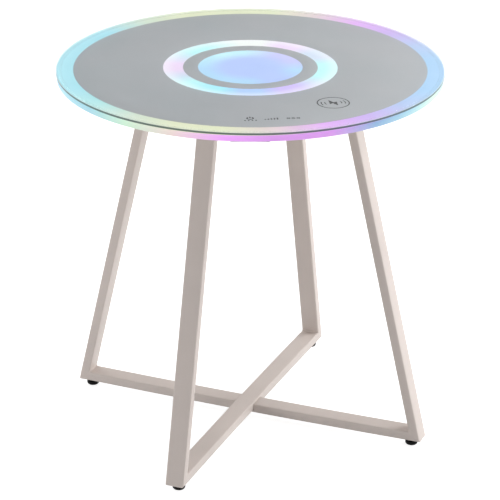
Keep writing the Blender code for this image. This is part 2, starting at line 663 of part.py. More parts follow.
def crossed_frames():
    """Four legs on one pattern, and two bars, the upper one lying in the lower one's notch."""
    leg = None
    for name, angle in ANGLES.items():
        if leg is None:
            leg = finish_object("leg_"+name, hollow_bmesh(leg_sections(False), leg_sections(True)),
                                FRAME_PAINT, SMOOTH_TUBE)
            mesh = leg.data
        else:
            leg = bpy.data.objects.new("leg_"+name, mesh)
            bpy.context.scene.collection.objects.link(leg)
        leg.rotation_euler.z = angle
    hole_low, hole_high = FOOT_HEIGHT-BAR_BOW-CUT_OVERRUN, FOOT_HEIGHT+BAR_BOW+TUBE_WALL+CUT_OVERRUN
    bars = {}
    for name, bow, turn in (("bar_a", -BAR_BOW, ANGLES["right"]), ("bar_b", BAR_BOW, ANGLES["back"])):
        bar = finish_object(name, hollow_bmesh(bar_sections(False, bow), bar_sections(True, bow)),
                            FRAME_PAINT, SMOOTH_TUBE)
        bar.rotation_euler.z = turn
        boolean(bar, drills(name+"_bolt_hole", [(0, 0)], CROSS_BOLT_RADIUS+TOUCH_GAP,
                            hole_low, hole_high))
        boolean(bar, drills(name+"_foot_holes", foot_places((turn, turn+math.pi)),
                            STUD_RADIUS+RUNNING_GAP, hole_low, hole_high))
        bars[name] = bar
    notch_low = FOOT_HEIGHT+BAR_BOW-TOUCH_GAP
    notch_high = FOOT_HEIGHT+TUBE_DEPTH+CUT_OVERRUN
    half_along = TUBE_WIDTH/2+CUT_OVERRUN
    half_across = TUBE_WIDTH/2+TOUCH_GAP
    notch = cutter("bar_a_notch", loft_bmesh([
        [(along*half_along, across*half_across, height)
         for along, across in ((-1, -1), (1, -1), (1, 1), (-1, 1))]
        for height in (notch_low, notch_high)]))
    notch.rotation_euler.z = ANGLES["back"]
    boolean(bars["bar_a"], notch)


def cross_bolt():
    """The bolt through both bars from below, and its nut inside the upper bar."""
    head_top = FOOT_HEIGHT-BAR_BOW-TOUCH_GAP
    head_bottom = head_top-CROSS_BOLT_HEAD_HEIGHT
    nut_low = FOOT_HEIGHT+BAR_BOW+TUBE_WALL+TOUCH_GAP
    nut_high = nut_low+CROSS_NUT_HEIGHT
    tip = nut_high+CROSS_BOLT_TAIL
    socket_top = head_bottom+CROSS_BOLT_SOCKET_DEPTH
    turned("cross_bolt", [
        (0, socket_top), (CROSS_BOLT_SOCKET_RADIUS, socket_top), (CROSS_BOLT_SOCKET_RADIUS, head_bottom),
        (CROSS_BOLT_HEAD_RADIUS*COUNTERSINK_FACE_SHARE, head_bottom), (CROSS_BOLT_HEAD_RADIUS, head_top),
        (CROSS_BOLT_RADIUS, head_top), (CROSS_BOLT_RADIUS, tip), (0, tip)], ZINC, SCREW_SEGMENTS)
    turned("cross_nut", ring_outline(
        CROSS_BOLT_RADIUS+TOUCH_GAP, CROSS_NUT_RADIUS, nut_low, nut_high), ZINC, SCREW_SEGMENTS)


def plate_screw_places(angle):
    """The two screws of one leg's plate, one on each side of the leg."""
    middle = Vector((LEG_MIDDLE_REACH, 0, 0))
    places = []
    for side in (-1, 1):
        place = Matrix.Rotation(angle, 3, "Z") @ (middle+Vector((0, side*PLATE_SCREW_SPACING/2, 0)))
        places.append((place.x, place.y))
    return places


def top_plates():
    """The plate on each leg's upper end, and the two screws that hold it to the board."""
    head_top = PLATE_BOTTOM-TOUCH_GAP
    for name, angle in ANGLES.items():
        plate = finish_object("top_plate_"+name, block_bmesh(
            PLATE_WIDTH, PLATE_LENGTH, PLATE_CORNER, PLATE_BOTTOM, PLATE_TOP), FRAME_PAINT)
        holes = drills("top_plate_%s_holes" % name, [(0, side*PLATE_SCREW_SPACING/2) for side in (-1, 1)],
                       PLATE_SCREW_RADIUS+TOUCH_GAP, PLATE_BOTTOM-CUT_OVERRUN, PLATE_TOP+CUT_OVERRUN)
        for piece in (plate, holes):
            piece.location = (*polar(LEG_MIDDLE_REACH, angle), 0)
            piece.rotation_euler.z = angle
        boolean(plate, holes)
        for number, (x, y) in enumerate(plate_screw_places(angle)):
            screw = turned("plate_screw_%s_%d" % (name, number+1), screw_outline(
                PLATE_SCREW_RADIUS, BOARD_BOTTOM+PLATE_SCREW_BITE, PLATE_SCREW_HEAD_RADIUS,
                PLATE_SCREW_HEAD_HEIGHT, head_top), ZINC, SCREW_SEGMENTS)
            screw.location = (x, y, 0)


def pad_outline(pad_top):
    """A round pad with a rounded lower edge and a blind hole for the stud's tip."""
    outline = [(0, 0)]
    for step in range(PAD_ROUNDING_STEPS+1):
        angle = math.pi/2*step/PAD_ROUNDING_STEPS
        outline.append((PAD_RADIUS-PAD_ROUNDING+PAD_ROUNDING*math.sin(angle),
                        PAD_ROUNDING*(1-math.cos(angle))))
    hole = STUD_RADIUS+RUNNING_GAP
    hole_bottom = pad_top-STUD_TIP_DEPTH-RUNNING_GAP
    return outline+[(PAD_RADIUS, pad_top-PAD_RIM_BEVEL), (PAD_RADIUS-PAD_RIM_BEVEL, pad_top),
                    (hole, pad_top), (hole, hole_bottom), (0, hole_bottom)]


def screw_feet():
    """Under each corner: a nut in the bar, a stud with its collar, and the pad it turns in.

    The stud turns and moves down together with its pad as it is screwed out.
    """
    collar_top = FOOT_HEIGHT-TOUCH_GAP
    collar_low = collar_top-COLLAR_HEIGHT
    pad_top = collar_low-RUNNING_GAP
    nut_low = FOOT_HEIGHT+TUBE_WALL+TOUCH_GAP
    nut_high = nut_low+FOOT_NUT_HEIGHT
    stud_top = nut_high+STUD_GRIP_ABOVE_NUT
    chamfer = COLLAR_CHAMFER
    for name, angle in ANGLES.items():
        place = (*polar(FOOT_AXIS_REACH, angle), 0)
        pad = turned("foot_pad_"+name, pad_outline(pad_top), BLACK_PAD, FOOT_SEGMENTS, SMOOTH_PAD)
        stud = turned("foot_stud_"+name, [
            (0, pad_top-STUD_TIP_DEPTH), (STUD_RADIUS, pad_top-STUD_TIP_DEPTH),
            (STUD_RADIUS, stud_top-STUD_RADIUS*TIP_SHARE), (STUD_RADIUS*TIP_SHARE, stud_top),
            (0, stud_top)],
            ZINC, SCREW_SEGMENTS)
        collar = cutter("foot_collar_"+name, turned_bmesh([
            (0, collar_low), (COLLAR_RADIUS-chamfer, collar_low), (COLLAR_RADIUS, collar_low+chamfer),
            (COLLAR_RADIUS, collar_top-chamfer), (COLLAR_RADIUS-chamfer, collar_top),
            (0, collar_top)], COLLAR_SIDES))
        nut = turned("foot_nut_"+name, ring_outline(
            STUD_RADIUS+RUNNING_GAP, FOOT_NUT_RADIUS, nut_low, nut_high), ZINC, SCREW_SEGMENTS)
        for piece in (pad, stud, collar, nut):
            piece.location = place
        boolean(stud, collar, "UNION")


def build():
    """Make every piece of the table."""
    clear_scene()
    glass_top()
    printed_films()
    diffuser_plate()
    rim_light_ring()
    base_tray()
    base_board()
    tray_screws()
    light_strips()
    centre_light_board()
    touch_board()
    wireless_charger()
    control_box()
    crossed_frames()
    cross_bolt()
    top_plates()
    screw_feet()


build()
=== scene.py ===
"""The light up side table, dressed for its picture.

Metres, with the floor at z = 0 and the table's middle on the Z axis. Frame A runs
along X, frame B along Y. Each piece stands for the CAD solid of the same form.
"""

import math

import bmesh
import bpy
from mathutils import Matrix, Vector


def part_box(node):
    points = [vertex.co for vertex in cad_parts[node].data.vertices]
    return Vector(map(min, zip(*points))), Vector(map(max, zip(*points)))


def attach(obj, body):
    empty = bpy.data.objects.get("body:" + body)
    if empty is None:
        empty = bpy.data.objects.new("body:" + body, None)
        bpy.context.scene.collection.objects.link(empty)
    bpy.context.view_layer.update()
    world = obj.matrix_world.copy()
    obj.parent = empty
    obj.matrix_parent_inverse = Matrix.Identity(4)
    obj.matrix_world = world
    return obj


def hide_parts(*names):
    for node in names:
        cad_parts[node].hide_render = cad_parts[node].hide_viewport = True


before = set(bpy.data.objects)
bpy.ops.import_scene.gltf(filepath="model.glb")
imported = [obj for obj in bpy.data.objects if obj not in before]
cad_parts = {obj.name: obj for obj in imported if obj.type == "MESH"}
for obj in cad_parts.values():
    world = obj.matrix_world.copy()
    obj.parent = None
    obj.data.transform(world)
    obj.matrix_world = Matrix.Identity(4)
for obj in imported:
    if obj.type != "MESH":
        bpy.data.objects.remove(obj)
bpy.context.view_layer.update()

# Facets of round pieces, steps round a corner and along a bar
DISC_FACETS = 256
PAD_FACETS = 64
SMALL_FACETS = 48
SCREW_FACETS = 32
CORNER_STEPS = 6
PAD_STEPS = 8
BAR_STEPS = 24

# Facets of swept lines, and steps to each turn of a spiral
WELD_FACETS = 12
WIRE_FACETS = 8
RIDGE_FACETS = 4
THREAD_STEPS = 24
COIL_STEPS = 40

# Edges sharper than this stay sharp
SMOOTH_ANGLE = math.radians(32)
GLASS_SMOOTH_ANGLE = math.radians(20)
PAD_SMOOTH_ANGLE = math.radians(40)
ROUND_SMOOTH_ANGLE = math.radians(60)

# Gap between pieces, which small edge breaks share, and a cutting tool's reach past what it cuts
SKIN = 0.0003
CUT_MARGIN = 0.002

# How far in the middle of a rounded edge lies, as a share of its radius
EDGE_MIDDLE = 0.3

# Top: glass, printed film and the light box under it
TABLE_RADIUS = 0.300
GLASS_BEVEL = 0.0007
OUTER_PRINT = (0.1347, 0.273)
INNER_PRINT = (0.0808, 0.104)
SEAL = (0.291, 0.297)
FILM_ROUNDING_SHARE = 0.2
RIM_RADIUS = 0.2985
RIM_INNER_RADIUS = 0.2905
RIM_ROUNDING = 0.0008
TRAY_FLOOR = 0.002
TRAY_EDGE_RADIUS = 0.2945
TRAY_STEP_RADIUS = 0.2902
LIGHT_WALL = 0.002
LIGHT_WALL_RADII = (0.0813, 0.1015, 0.1352, 0.2705)
CENTRE_PLATE_RADIUS = 0.092
INNER_PLATE_RADIUS = 0.200
BOARD_EDGE = 0.0008

# Frames: rectangular tube, mitred at the feet
TUBE_WIDTH = 0.030
TUBE_DEPTH = 0.015
TUBE_WALL = 0.0012
TUBE_ROUNDING = 0.002
TUBE_INNER_ROUNDING = 0.0009
FOOT_HEIGHT = 0.012
FOOT_REACH = 0.300
FOOT_AXIS_REACH = 0.2815
BAR_BOW = 0.002
NOTCH_CORNER = 0.0005
PLATE_LENGTH = 0.074
PLATE_WIDTH = 0.036
PLATE_CORNER = 0.005
PLATE_SCREW_SPACING = 0.052
PLATE_HOLE_RADIUS = 0.0028
PLATE_EDGE = 0.0004

# Weld beads. Sink and end gap are shares of the bead's radius.
WELD_RADIUS = 0.0011
WELD_SINK = 0.25
WELD_END_GAP = 0.6
WELD_STEP = 0.0003
WELD_RIPPLE_PITCH = 0.0016
WELD_RIPPLE_DEPTH = 0.09

# Screws: head radius, head height, shank radius and shank length. Shares of them shape the head.
PLATE_SCREW = (0.0046, 0.0028, 0.0025, 0.0106)
CONTROL_SCREW = (0.0027, 0.0017, 0.0015, 0.0040)
HEAD_UNDERSIDE = 0.97
HEAD_FLAT = 0.55
HEAD_RIM = 0.15
RECESS_RADIUS = 0.42
RECESS_END = 0.4

# The bolt and the nut at the crossing
BOLT_FACE_RADIUS = 0.0036
BOLT_SHOULDER_RADIUS = 0.0046
BOLT_SHOULDER_HEIGHT = 0.0006
BOLT_HEAD_RADIUS = 0.0052
BOLT_HEAD_EDGE = 0.0004
BOLT_TIP = 0.0005
BOLT_SOCKET_RADIUS = 0.0021
BOLT_SOCKET_DEPTH = 0.0016
CROSS_NUT_BORE = 0.0033
CROSS_NUT_RADIUS = 0.0056
NUT_CHAMFER = 0.0006

# Screw feet
PAD_RADIUS = 0.0100
PAD_ROUNDING = 0.0042
PAD_RIM_BEVEL = 0.0006
PAD_HOLE_DEPTH = 0.0048
DUST_HEIGHT = 0.004
STUD_RADIUS = 0.003
STUD_TIP = 0.001
THREAD_PITCH = 0.001
THREAD_DEPTH = 0.0005
THREAD_START = 0.0006
THREAD_RUN_OUT = 0.002
COLLAR_RADIUS = 0.0072
COLLAR_HEIGHT = 0.0034
COLLAR_CHAMFER = 0.0007
FOOT_NUT_RADIUS = 0.006

# Control box
CONTROL_AZIMUTH = math.radians(-67.8)
CONTROL_REACH = 0.23305
CONTROL_LENGTH = 0.060
CONTROL_WIDTH = 0.050
CONTROL_WALL = 0.0016
CONTROL_CORNER = 0.003
CONTROL_LOWER_EDGE = 0.0009
CONTROL_TAB_REACH = 0.009
CONTROL_TAB_WIDTH = 0.010
CONTROL_TAB_THICKNESS = 0.002
CONTROL_SCREW_OFFSET = CONTROL_WIDTH/2+CONTROL_TAB_REACH/2
CONTROL_HOLE_RADIUS = 0.0018
INLET_RADIUS = 0.0042
INLET_HOLE_RADIUS = 0.0045

# Inner pieces
DIODE_LENGTH = 0.0035
DIODE_WIDTH = 0.0028
DIODE_HEIGHT = 0.0006
DIODE_CORNER = 0.0006
DIODE_EDGE = 0.0001
DIODE_SINK = 0.0002
STRIP_HALF_WIDTH = 0.005
COIL_EYE_RADIUS = 0.010
COIL_OUTER_RADIUS = 0.024
COIL_TURNS = 8.0

# Marks on the print: where they stand, and the ink that draws them
CHARGE_PLACE = (0.1763, -0.1059)
CHARGE_RING_RADIUS = 0.0238
TOUCH_ROW_TURN = math.radians(27.1)
POWER_PLACE = (0.0902, -0.2203)
BRIGHTNESS_PLACE = (0.1180, -0.2070)
COLOUR_PLACE = (0.1463, -0.1916)
INK_THICKNESS = 0.0001

SIDES = {"right": 0.0, "back": math.pi/2, "left": math.pi, "front": -math.pi/2}

GLASS_TONE = "FAFCFC"


def linear(hex_colour):
    """Linear RGBA of an sRGB colour written as six hex digits."""
    shares = [int(hex_colour[start:start+2], 16)/255 for start in (0, 2, 4)]
    return (*[share/12.92 if share <= 0.04045 else ((share+0.055)/1.055)**2.4 for share in shares], 1.0)


def node(tree, kind, inputs=None):
    """Add a node. A property is set, and an input takes a value or what feeds it."""
    made = tree.nodes.new(kind)
    for name, value in (inputs or {}).items():
        if isinstance(value, bpy.types.Node):
            tree.links.new(value.outputs[0], made.inputs[name])
        elif isinstance(value, bpy.types.NodeSocket):
            tree.links.new(value, made.inputs[name])
        elif isinstance(name, str) and name in made.bl_rna.properties:
            setattr(made, name, value)
        else:
            made.inputs[name].default_value = value
    return made


def shade(tree, kind, inputs=None):
    """Add a shader node."""
    return node(tree, "ShaderNode"+kind, inputs)


def geo(tree, kind, inputs=None):
    """Add a geometry node."""
    return node(tree, "GeometryNode"+kind, inputs)


def reckon(tree, operation, *terms):
    """One step of arithmetic on values and sockets."""
    return shade(tree, "Math", {"operation": operation, **dict(enumerate(terms))}).outputs[0]


def scaled(tree, vector, scale):
    """A vector or colour times a number."""
    return shade(tree, "VectorMath", {"operation": "SCALE", 0: vector, "Scale": scale}).outputs[0]


def ranged(tree, value, low, high, start=0.0, end=1.0, interpolation="LINEAR"):
    """Carry a value over from one range to another."""
    return shade(tree, "MapRange", {
        "interpolation_type": interpolation, "Value": value, "From Min": start, "From Max": end,
        "To Min": low, "To Max": high}).outputs["Result"]


def two_tones(tree, source, low_hex, high_hex, low=0.3, high=0.7):
    """Colours between two tones, as a pattern rises from low to high."""
    ramp = shade(tree, "ValToRGB", {"Fac": source})
    for element, position, colour in zip(ramp.color_ramp.elements, (low, high), (low_hex, high_hex)):
        element.position = position
        element.color = linear(colour)
    return ramp.outputs["Color"]


def blend(tree, share, first, second):
    """Two colours mixed by a share."""
    return shade(tree, "Mix", {"data_type": "RGBA", 0: share, 6: first, 7: second}).outputs[2]


class Finish:
    """A material with one Principled BSDF. Its patterns read Object coordinates, scales in cycles a metre."""

    def __init__(self, name, values):
        self.material = bpy.data.materials.new(name)
        self.material.use_nodes = True
        self.tree = self.material.node_tree
        self.shader = self.tree.nodes["Principled BSDF"]
        for socket, value in values.items():
            self.shader.inputs[socket].default_value = value
        self.place = shade(self.tree, "TexCoord").outputs["Object"]

    def feed(self, socket, source):
        """Let a pattern drive one of the shader's sockets."""
        self.tree.links.new(source, self.shader.inputs[socket])

    def noise(self, scale, detail=2.0, fractal=0.5):
        """A cloudy pattern."""
        return shade(self.tree, "TexNoise", {
            "Scale": scale, "Detail": detail, "Roughness": fractal, "Vector": self.place}).outputs["Fac"]

    def mottle(self, scale, low_hex, high_hex):
        """A slow drift between two close colours."""
        return two_tones(self.tree, self.noise(scale, 3.0), low_hex, high_hex)

    def body(self, scale, low_hex, high_hex):
        """The material's own colour, slightly mottled."""
        self.feed("Base Color", self.mottle(scale, low_hex, high_hex))

    def sheen(self, pattern, low, high):
        """Roughness that follows a pattern between two limits."""
        self.feed("Roughness", ranged(self.tree, pattern, low, high))

    def relief(self, pattern, depth):
        """Bump of a given depth in metres."""
        bump = shade(self.tree, "Bump", {"Strength": 1.0, "Distance": depth, "Height": pattern})
        self.feed("Normal", bump.outputs["Normal"])

    def grain(self, scale, detail, low, high, depth=0.0, fractal=0.5):
        """A fine pattern in the roughness and, where a depth is given, in the relief."""
        pattern = self.noise(scale, detail, fractal)
        self.sheen(pattern, low, high)
        if depth:
            self.relief(pattern, depth)

    def surface(self, shader):
        """End the material in another shader."""
        self.tree.links.new(shader.outputs[0], self.tree.nodes["Material Output"].inputs["Surface"])

    def round_the_middle(self):
        """Turn round the table's middle, as a share from -180 to 180 degrees, and distance from it."""
        x, y = shade(self.tree, "SeparateXYZ", {0: self.place}).outputs[:2]
        turn = reckon(self.tree, "MULTIPLY_ADD", reckon(self.tree, "ARCTAN2", y, x), 1/math.tau, 0.5)
        flat = shade(self.tree, "CombineXYZ", {0: x, 1: y})
        return turn, shade(self.tree, "VectorMath", {"operation": "LENGTH", 0: flat}).outputs["Value"]


def light_round(finish, programme):
    """Colours of the light strip round the table, from (degrees, hex) pairs between -180 and 180.

    The two colours nearest the seam at 180 degrees are mixed there, so that the ring closes.
    """
    ramp = shade(finish.tree, "ValToRGB", {"Fac": finish.round_the_middle()[0]})
    first, last = linear(programme[0][1]), linear(programme[-1][1])
    before, after = 180-programme[-1][0], programme[0][0]+180
    seam = [(a*after+b*before)/(before+after) for a, b in zip(last, first)]
    elements = ramp.color_ramp.elements
    for end in elements:
        end.color = seam
    for degrees, colour in programme:
        elements.new(degrees/360+0.5).color = linear(colour)
    return ramp.outputs["Color"]


# Colours of the light programme in the outer window, as they leave the opal plate
SKY = "84BDEA"
PERIWINKLE = "94AFE1"
LILAC = "B68BE1"
ROSE = "D88CEA"
BLUSH = "D6BBBF"
LEMON = "DADEAF"
MINT = "C6D7BF"
SEAFOAM = "9DDDDB"
AQUA = "91DAE8"

# The same colours in the inner window, where its two rows of light mix more white in
PALE_AQUA = "AFF3F4"
PALE_LILAC = "C9D7ED"
PALE_ROSE = "EACEF1"
PALE_MINT = "F5F8F4"
PALE_VIOLET = "C3A7F6"
PALE_SKY = "97C0FF"
CLEAR_AQUA = "86E7FF"

# The middle, an even blue that only drifts at its edge
CENTRE_BLUE = "9EB8F6"
CENTRE_SKY = "98CFF4"
CENTRE_VIOLET = "BDBCF6"
CENTRE_AQUA = "BBEFF9"

# The frosted ring at the side, deeper because no print or glass lies over it
DEEP_SKY = "4F8CBA"
DEEP_LILAC = "BD6DD0"
DEEP_ROSE = "D983E7"
DEEP_BLUSH = "D4BEB8"
DEEP_MINT = "AFD5B5"
DEEP_AQUA = "7AB9C8"

# Where each colour stands, in degrees round the table from frame A's right end
OUTER_LIGHT = (
    (-165, AQUA), (-135, AQUA), (-120, SEAFOAM), (-105, MINT), (-90, LEMON), (-75, LEMON), (-60, BLUSH),
    (-45, ROSE), (-30, LILAC), (-15, PERIWINKLE), (0, SKY), (30, SKY), (45, PERIWINKLE), (60, LILAC),
    (75, ROSE), (90, BLUSH), (105, LEMON), (135, LEMON), (150, MINT), (165, AQUA))
INNER_LIGHT = (
    (-165, PALE_ROSE), (-150, PALE_ROSE), (-135, PALE_LILAC), (-120, PALE_AQUA), (-90, CLEAR_AQUA),
    (-75, PALE_SKY), (-60, PALE_SKY), (-45, PALE_VIOLET), (-30, PALE_VIOLET), (-15, PALE_LILAC),
    (0, PALE_AQUA), (30, PALE_AQUA), (45, PALE_LILAC), (60, PALE_LILAC), (75, PALE_ROSE), (90, PALE_ROSE),
    (105, PALE_MINT), (120, PALE_MINT), (150, PALE_AQUA), (165, PALE_AQUA))
CENTRE_LIGHT = (
    (-150, CENTRE_SKY), (-110, CENTRE_SKY), (-70, CENTRE_SKY), (-45, CENTRE_BLUE), (-20, CENTRE_BLUE),
    (10, CENTRE_SKY), (45, CENTRE_VIOLET), (80, CENTRE_VIOLET), (120, CENTRE_AQUA), (150, CENTRE_AQUA))
RIM_LIGHT = (
    (-165, DEEP_AQUA), (-152, DEEP_SKY), (-138, DEEP_AQUA), (-120, DEEP_AQUA), (-105, DEEP_MINT),
    (-90, DEEP_BLUSH), (-75, DEEP_ROSE), (-60, DEEP_LILAC), (-45, DEEP_LILAC), (-30, DEEP_SKY),
    (-15, DEEP_AQUA), (0, DEEP_MINT), (20, DEEP_SKY), (45, DEEP_LILAC), (75, DEEP_ROSE), (95, DEEP_BLUSH),
    (115, DEEP_MINT), (140, DEEP_AQUA))


def float_glass():
    """Clear tempered float glass, 4 mm.

    The molten glass is drawn over tin, so both faces are as flat as a mirror and the eye sees the
    print right through it. Wiping leaves it a touch duller in patches of about a hand's breadth.
    Lamps pass through it to the print, which shadow rays and diffuse rays stand for.
    """
    glass = Finish("float_glass", {
        "Base Color": linear(GLASS_TONE), "IOR": 1.52, "Transmission Weight": 1.0})
    glass.grain(11.0, 2.0, 0.0, 0.02)
    let_lamps_through(glass)
    return glass.material


def let_lamps_through(finish):
    """Mix a Transparent BSDF in for shadow rays and for light that the print sends back up."""
    clear = shade(finish.tree, "BsdfTransparent", {"Color": linear(GLASS_TONE)})
    path = shade(finish.tree, "LightPath").outputs
    either = reckon(finish.tree, "MAXIMUM", path["Is Shadow Ray"], path["Is Diffuse Ray"])
    finish.surface(shade(finish.tree, "MixShader", {0: either, 1: finish.shader, 2: clear}))


def laminated_face():
    """The glass's lower face, laminated to the print.

    No air lies between them, so this face throws no second reflection and bends no light.
    """
    face = Finish("laminated_glass_face", {})
    face.tree.nodes.remove(face.shader)
    face.surface(shade(face.tree, "BsdfTransparent", {"Color": face.mottle(11.0, "F8FBFB", "FCFDFD")}))
    return face.material


def ground_edge():
    """The glass's edge, ground with a diamond wheel and left satin.

    From outside it is a dark grey-green line, because the light in the pane runs past it. From
    inside the pane, at the far side of the table, it would throw back the glow of the plate below;
    that reflected glow is painted on as emission in the light programme's colours, strong on the
    inner faces and faint on the outer ones. The wheel leaves lines along the edge, about 0.4 mm
    apart here so that they can show.
    """
    edge = Finish("ground_glass_edge", {"IOR": 1.52})
    # Painted reflection: the plate's glow in the pane is emission, 0.95 seen from inside and 0.10 from
    # outside
    edge.feed("Emission Color", light_round(edge, OUTER_LIGHT))
    inside = shade(edge.tree, "NewGeometry").outputs["Backfacing"]
    edge.feed("Emission Strength", ranged(edge.tree, inside, 0.10, 0.95))
    edge.body(40.0, "3C5656", "486361")
    lines = shade(edge.tree, "TexWave", {
        "wave_type": "BANDS", "bands_direction": "Z", "Scale": 400.0, "Distortion": 1.5, "Detail": 2.0,
        "Vector": edge.place})
    edge.sheen(lines, 0.28, 0.45)
    edge.relief(lines.outputs["Fac"], 0.00003)
    return edge.material


def ground_bevel():
    """The narrow bevel over the ground edge.

    It catches the room's light and shows as a pale line. The glow of the pane that it would catch
    is painted on as faint emission in the light programme's colours.
    """
    # Painted glow: the pane's light on the bevel is emission at strength 0.35
    bevel = Finish("ground_glass_bevel", {"IOR": 1.52, "Emission Strength": 0.35})
    bevel.feed("Emission Color", light_round(bevel, OUTER_LIGHT))
    bevel.body(60.0, "B2BEBC", "BECAC8")
    bevel.grain(2500.0, 2.0, 0.3, 0.5, 0.00003)
    return bevel.material


def silver_print():
    """Silver-grey screen print on clear polyester film.

    The ink holds fine metal flakes laid flat by the squeegee, so it reads as an even cool grey with
    a silky speckle. The flakes are drawn 0.7 mm wide, since real ones are too fine to show.
    """
    ink = Finish("silver_screen_print", {"Metallic": 0.25})
    flakes = shade(ink.tree, "TexVoronoi", {"Scale": 1400.0, "Vector": ink.place}).outputs["Color"]
    tone = ranged(ink.tree, flakes, 0.96, 1.04)
    ink.feed("Base Color", scaled(ink.tree, ink.mottle(9.0, "B7B7BB", "BBBBBF"), tone))
    ink.sheen(flakes, 0.42, 0.55)
    return ink.material


def clear_seal():
    """A soft clear silicone line that keeps dust out between glass and light box."""
    seal = Finish("clear_silicone", {"IOR": 1.41, "Transmission Weight": 1.0, "Specular IOR Level": 0.1})
    seal.body(80.0, "FBFDFD", "FFFFFF")
    seal.grain(300.0, 2.0, 0.02, 0.06)
    let_lamps_through(seal)
    return seal.material


def lit_opal(name, programme, even_hex, even_from, even_to, even_share):
    """Opal acrylic, cast, lit from behind by a colour-changing strip.

    The white filler spreads each strip's light into an even glow, so no single diode shows. The
    glow drifts round the table with the programme. From one reach to another it blends by a share
    into one even colour, where the diodes of all colours mix.
    """
    opal = Finish(name, {"IOR": 1.49, "Emission Strength": 1.0})
    reach = opal.round_the_middle()[1]
    share = ranged(opal.tree, reach, 0.0, even_share, even_from, even_to, "SMOOTHSTEP")
    light = blend(opal.tree, share, light_round(opal, programme), linear(even_hex))
    cloud = opal.noise(25.0)
    opal.feed("Emission Color", scaled(opal.tree, light, ranged(opal.tree, cloud, 0.97, 1.03)))
    opal.body(30.0, "858589", "8B8B8F")
    opal.sheen(cloud, 0.3, 0.4)
    return opal.material


def powder_coat():
    """Polyester powder coat in warm greige, baked on steel tube.

    The powder melts into a fine orange peel, about 1.2 mm from crest to crest, which softens the
    highlights along the tube. The film lies a little thicker in places, which shifts the tone.
    """
    coat = Finish("greige_powder_coat", {})
    coat.body(14.0, "D3C8C2", "D8CDC7")
    coat.grain(830.0, 2.0, 0.38, 0.46, 0.00012, fractal=0.45)
    return coat.material


def zinc_plate():
    """Bright zinc plated steel, dipped after turning.

    It mirrors its surroundings softly and shows a faint blue-grey cloudiness from the plating bath,
    in patches of about 2 mm.
    """
    zinc = Finish("bright_zinc_plate", {"Metallic": 1.0})
    zinc.body(500.0, "C3C8CC", "D2D4D3")
    zinc.grain(900.0, 2.0, 0.22, 0.36)
    return zinc.material


def moulded_pad():
    """Black thermoplastic rubber, moulded, smooth with a light bloom.

    The bloom and the floor's dust lift the black a little where the pad rounds under.
    """
    pad = Finish("black_moulded_rubber", {"Specular IOR Level": 0.1})
    height = shade(pad.tree, "SeparateXYZ", {0: pad.place}).outputs["Z"]
    specks = pad.noise(1200.0)
    dust = reckon(pad.tree, "MULTIPLY", ranged(pad.tree, height, 1.0, 0.0, 0.0, DUST_HEIGHT), specks)
    pad.feed("Base Color", blend(pad.tree, dust, linear("060607"), linear("131313")))
    pad.sheen(specks, 0.4, 0.55)
    pad.relief(specks, 0.00004)
    return pad.material


def grained_plastic(name, dark_hex, light_hex, rough):
    """ABS, injection moulded in a spark-eroded tool.

    The tool's grain, about 0.6 mm across, leaves an even dull sheen with no clear reflections.
    """
    plastic = Finish(name, {"IOR": 1.52})
    plastic.body(20.0, dark_hex, light_hex)
    plastic.grain(1600.0, 1.0, rough-0.05, rough+0.05, 0.00005)
    return plastic.material


def sealed_fibreboard():
    """Medium density fibreboard, sanded and sealed.

    Pressed wood fibres give a warm even brown with short darker flecks, about 1.5 mm long.
    """
    board = Finish("sealed_fibreboard", {"IOR": 1.48})
    fibre = board.noise(650.0, 4.0, 0.6)
    board.feed("Base Color", two_tones(board.tree, fibre, "A98F6D", "C9B08C", 0.32, 0.62))
    board.sheen(fibre, 0.5, 0.62)
    board.relief(fibre, 0.00005)
    return board.material


def solder_mask():
    """Glass-fibre circuit board under green solder mask, its copper tracks showing as a paler green."""
    mask = Finish("green_solder_mask", {"IOR": 1.55})
    tracks = shade(mask.tree, "TexBrick", {
        "Scale": 130.0, "Mortar Size": 0.06, "Color1": linear("14401F"), "Color2": linear("184A25"),
        "Mortar": linear("2E6E3C"), "Vector": mask.place}).outputs
    mask.feed("Base Color", tracks["Color"])
    mask.sheen(tracks["Fac"], 0.28, 0.36)
    mask.relief(tracks["Fac"], 0.00003)
    return mask.material


def strip_film():
    """White coverlay of a flexible light strip, its tone a little uneven over the copper below."""
    film = Finish("white_strip_coverlay", {})
    film.body(90.0, "DEDED6", "E8E8E0")
    film.grain(800.0, 1.0, 0.4, 0.5)
    return film.material


def diode_phosphor():
    """Soft yellow phosphor window of a light diode in its white housing."""
    window = Finish("diode_phosphor", {"Emission Strength": 0.3})
    tone = window.mottle(300.0, "E6D98C", "F0E6A8")
    window.feed("Base Color", tone)
    window.feed("Emission Color", tone)
    window.grain(2000.0, 1.0, 0.35, 0.5)
    return window.material


def enamelled_wire():
    """Copper wire under a thin clear enamel, which makes it a deeper, glossier red."""
    wire = Finish("enamelled_copper", {"Metallic": 1.0, "Coat Weight": 0.6, "Coat Roughness": 0.1})
    wire.body(200.0, "B8683F", "C97B4D")
    wire.grain(1500.0, 1.0, 0.22, 0.35)
    return wire.material


def sintered_ferrite():
    """Ferrite, pressed and sintered: a dark matt ceramic with grains of about 0.5 mm here."""
    ferrite = Finish("sintered_ferrite", {"IOR": 1.6})
    ferrite.body(2000.0, "38383B", "454548")
    ferrite.grain(2000.0, 1.0, 0.55, 0.7)
    return ferrite.material


def screen_ink():
    """Charcoal screen ink on the print, matt, with the mesh's faint unevenness in its tone."""
    ink = Finish("charcoal_screen_ink", {})
    ink.body(400.0, "0E1011", "16181A")
    ink.grain(1500.0, 1.0, 0.45, 0.6)
    return ink.material


GLASS = float_glass()
GLASS_LOWER_FACE = laminated_face()
GLASS_EDGE = ground_edge()
GLASS_BEVELS = ground_bevel()
PRINT = silver_print()
SILICONE = clear_seal()

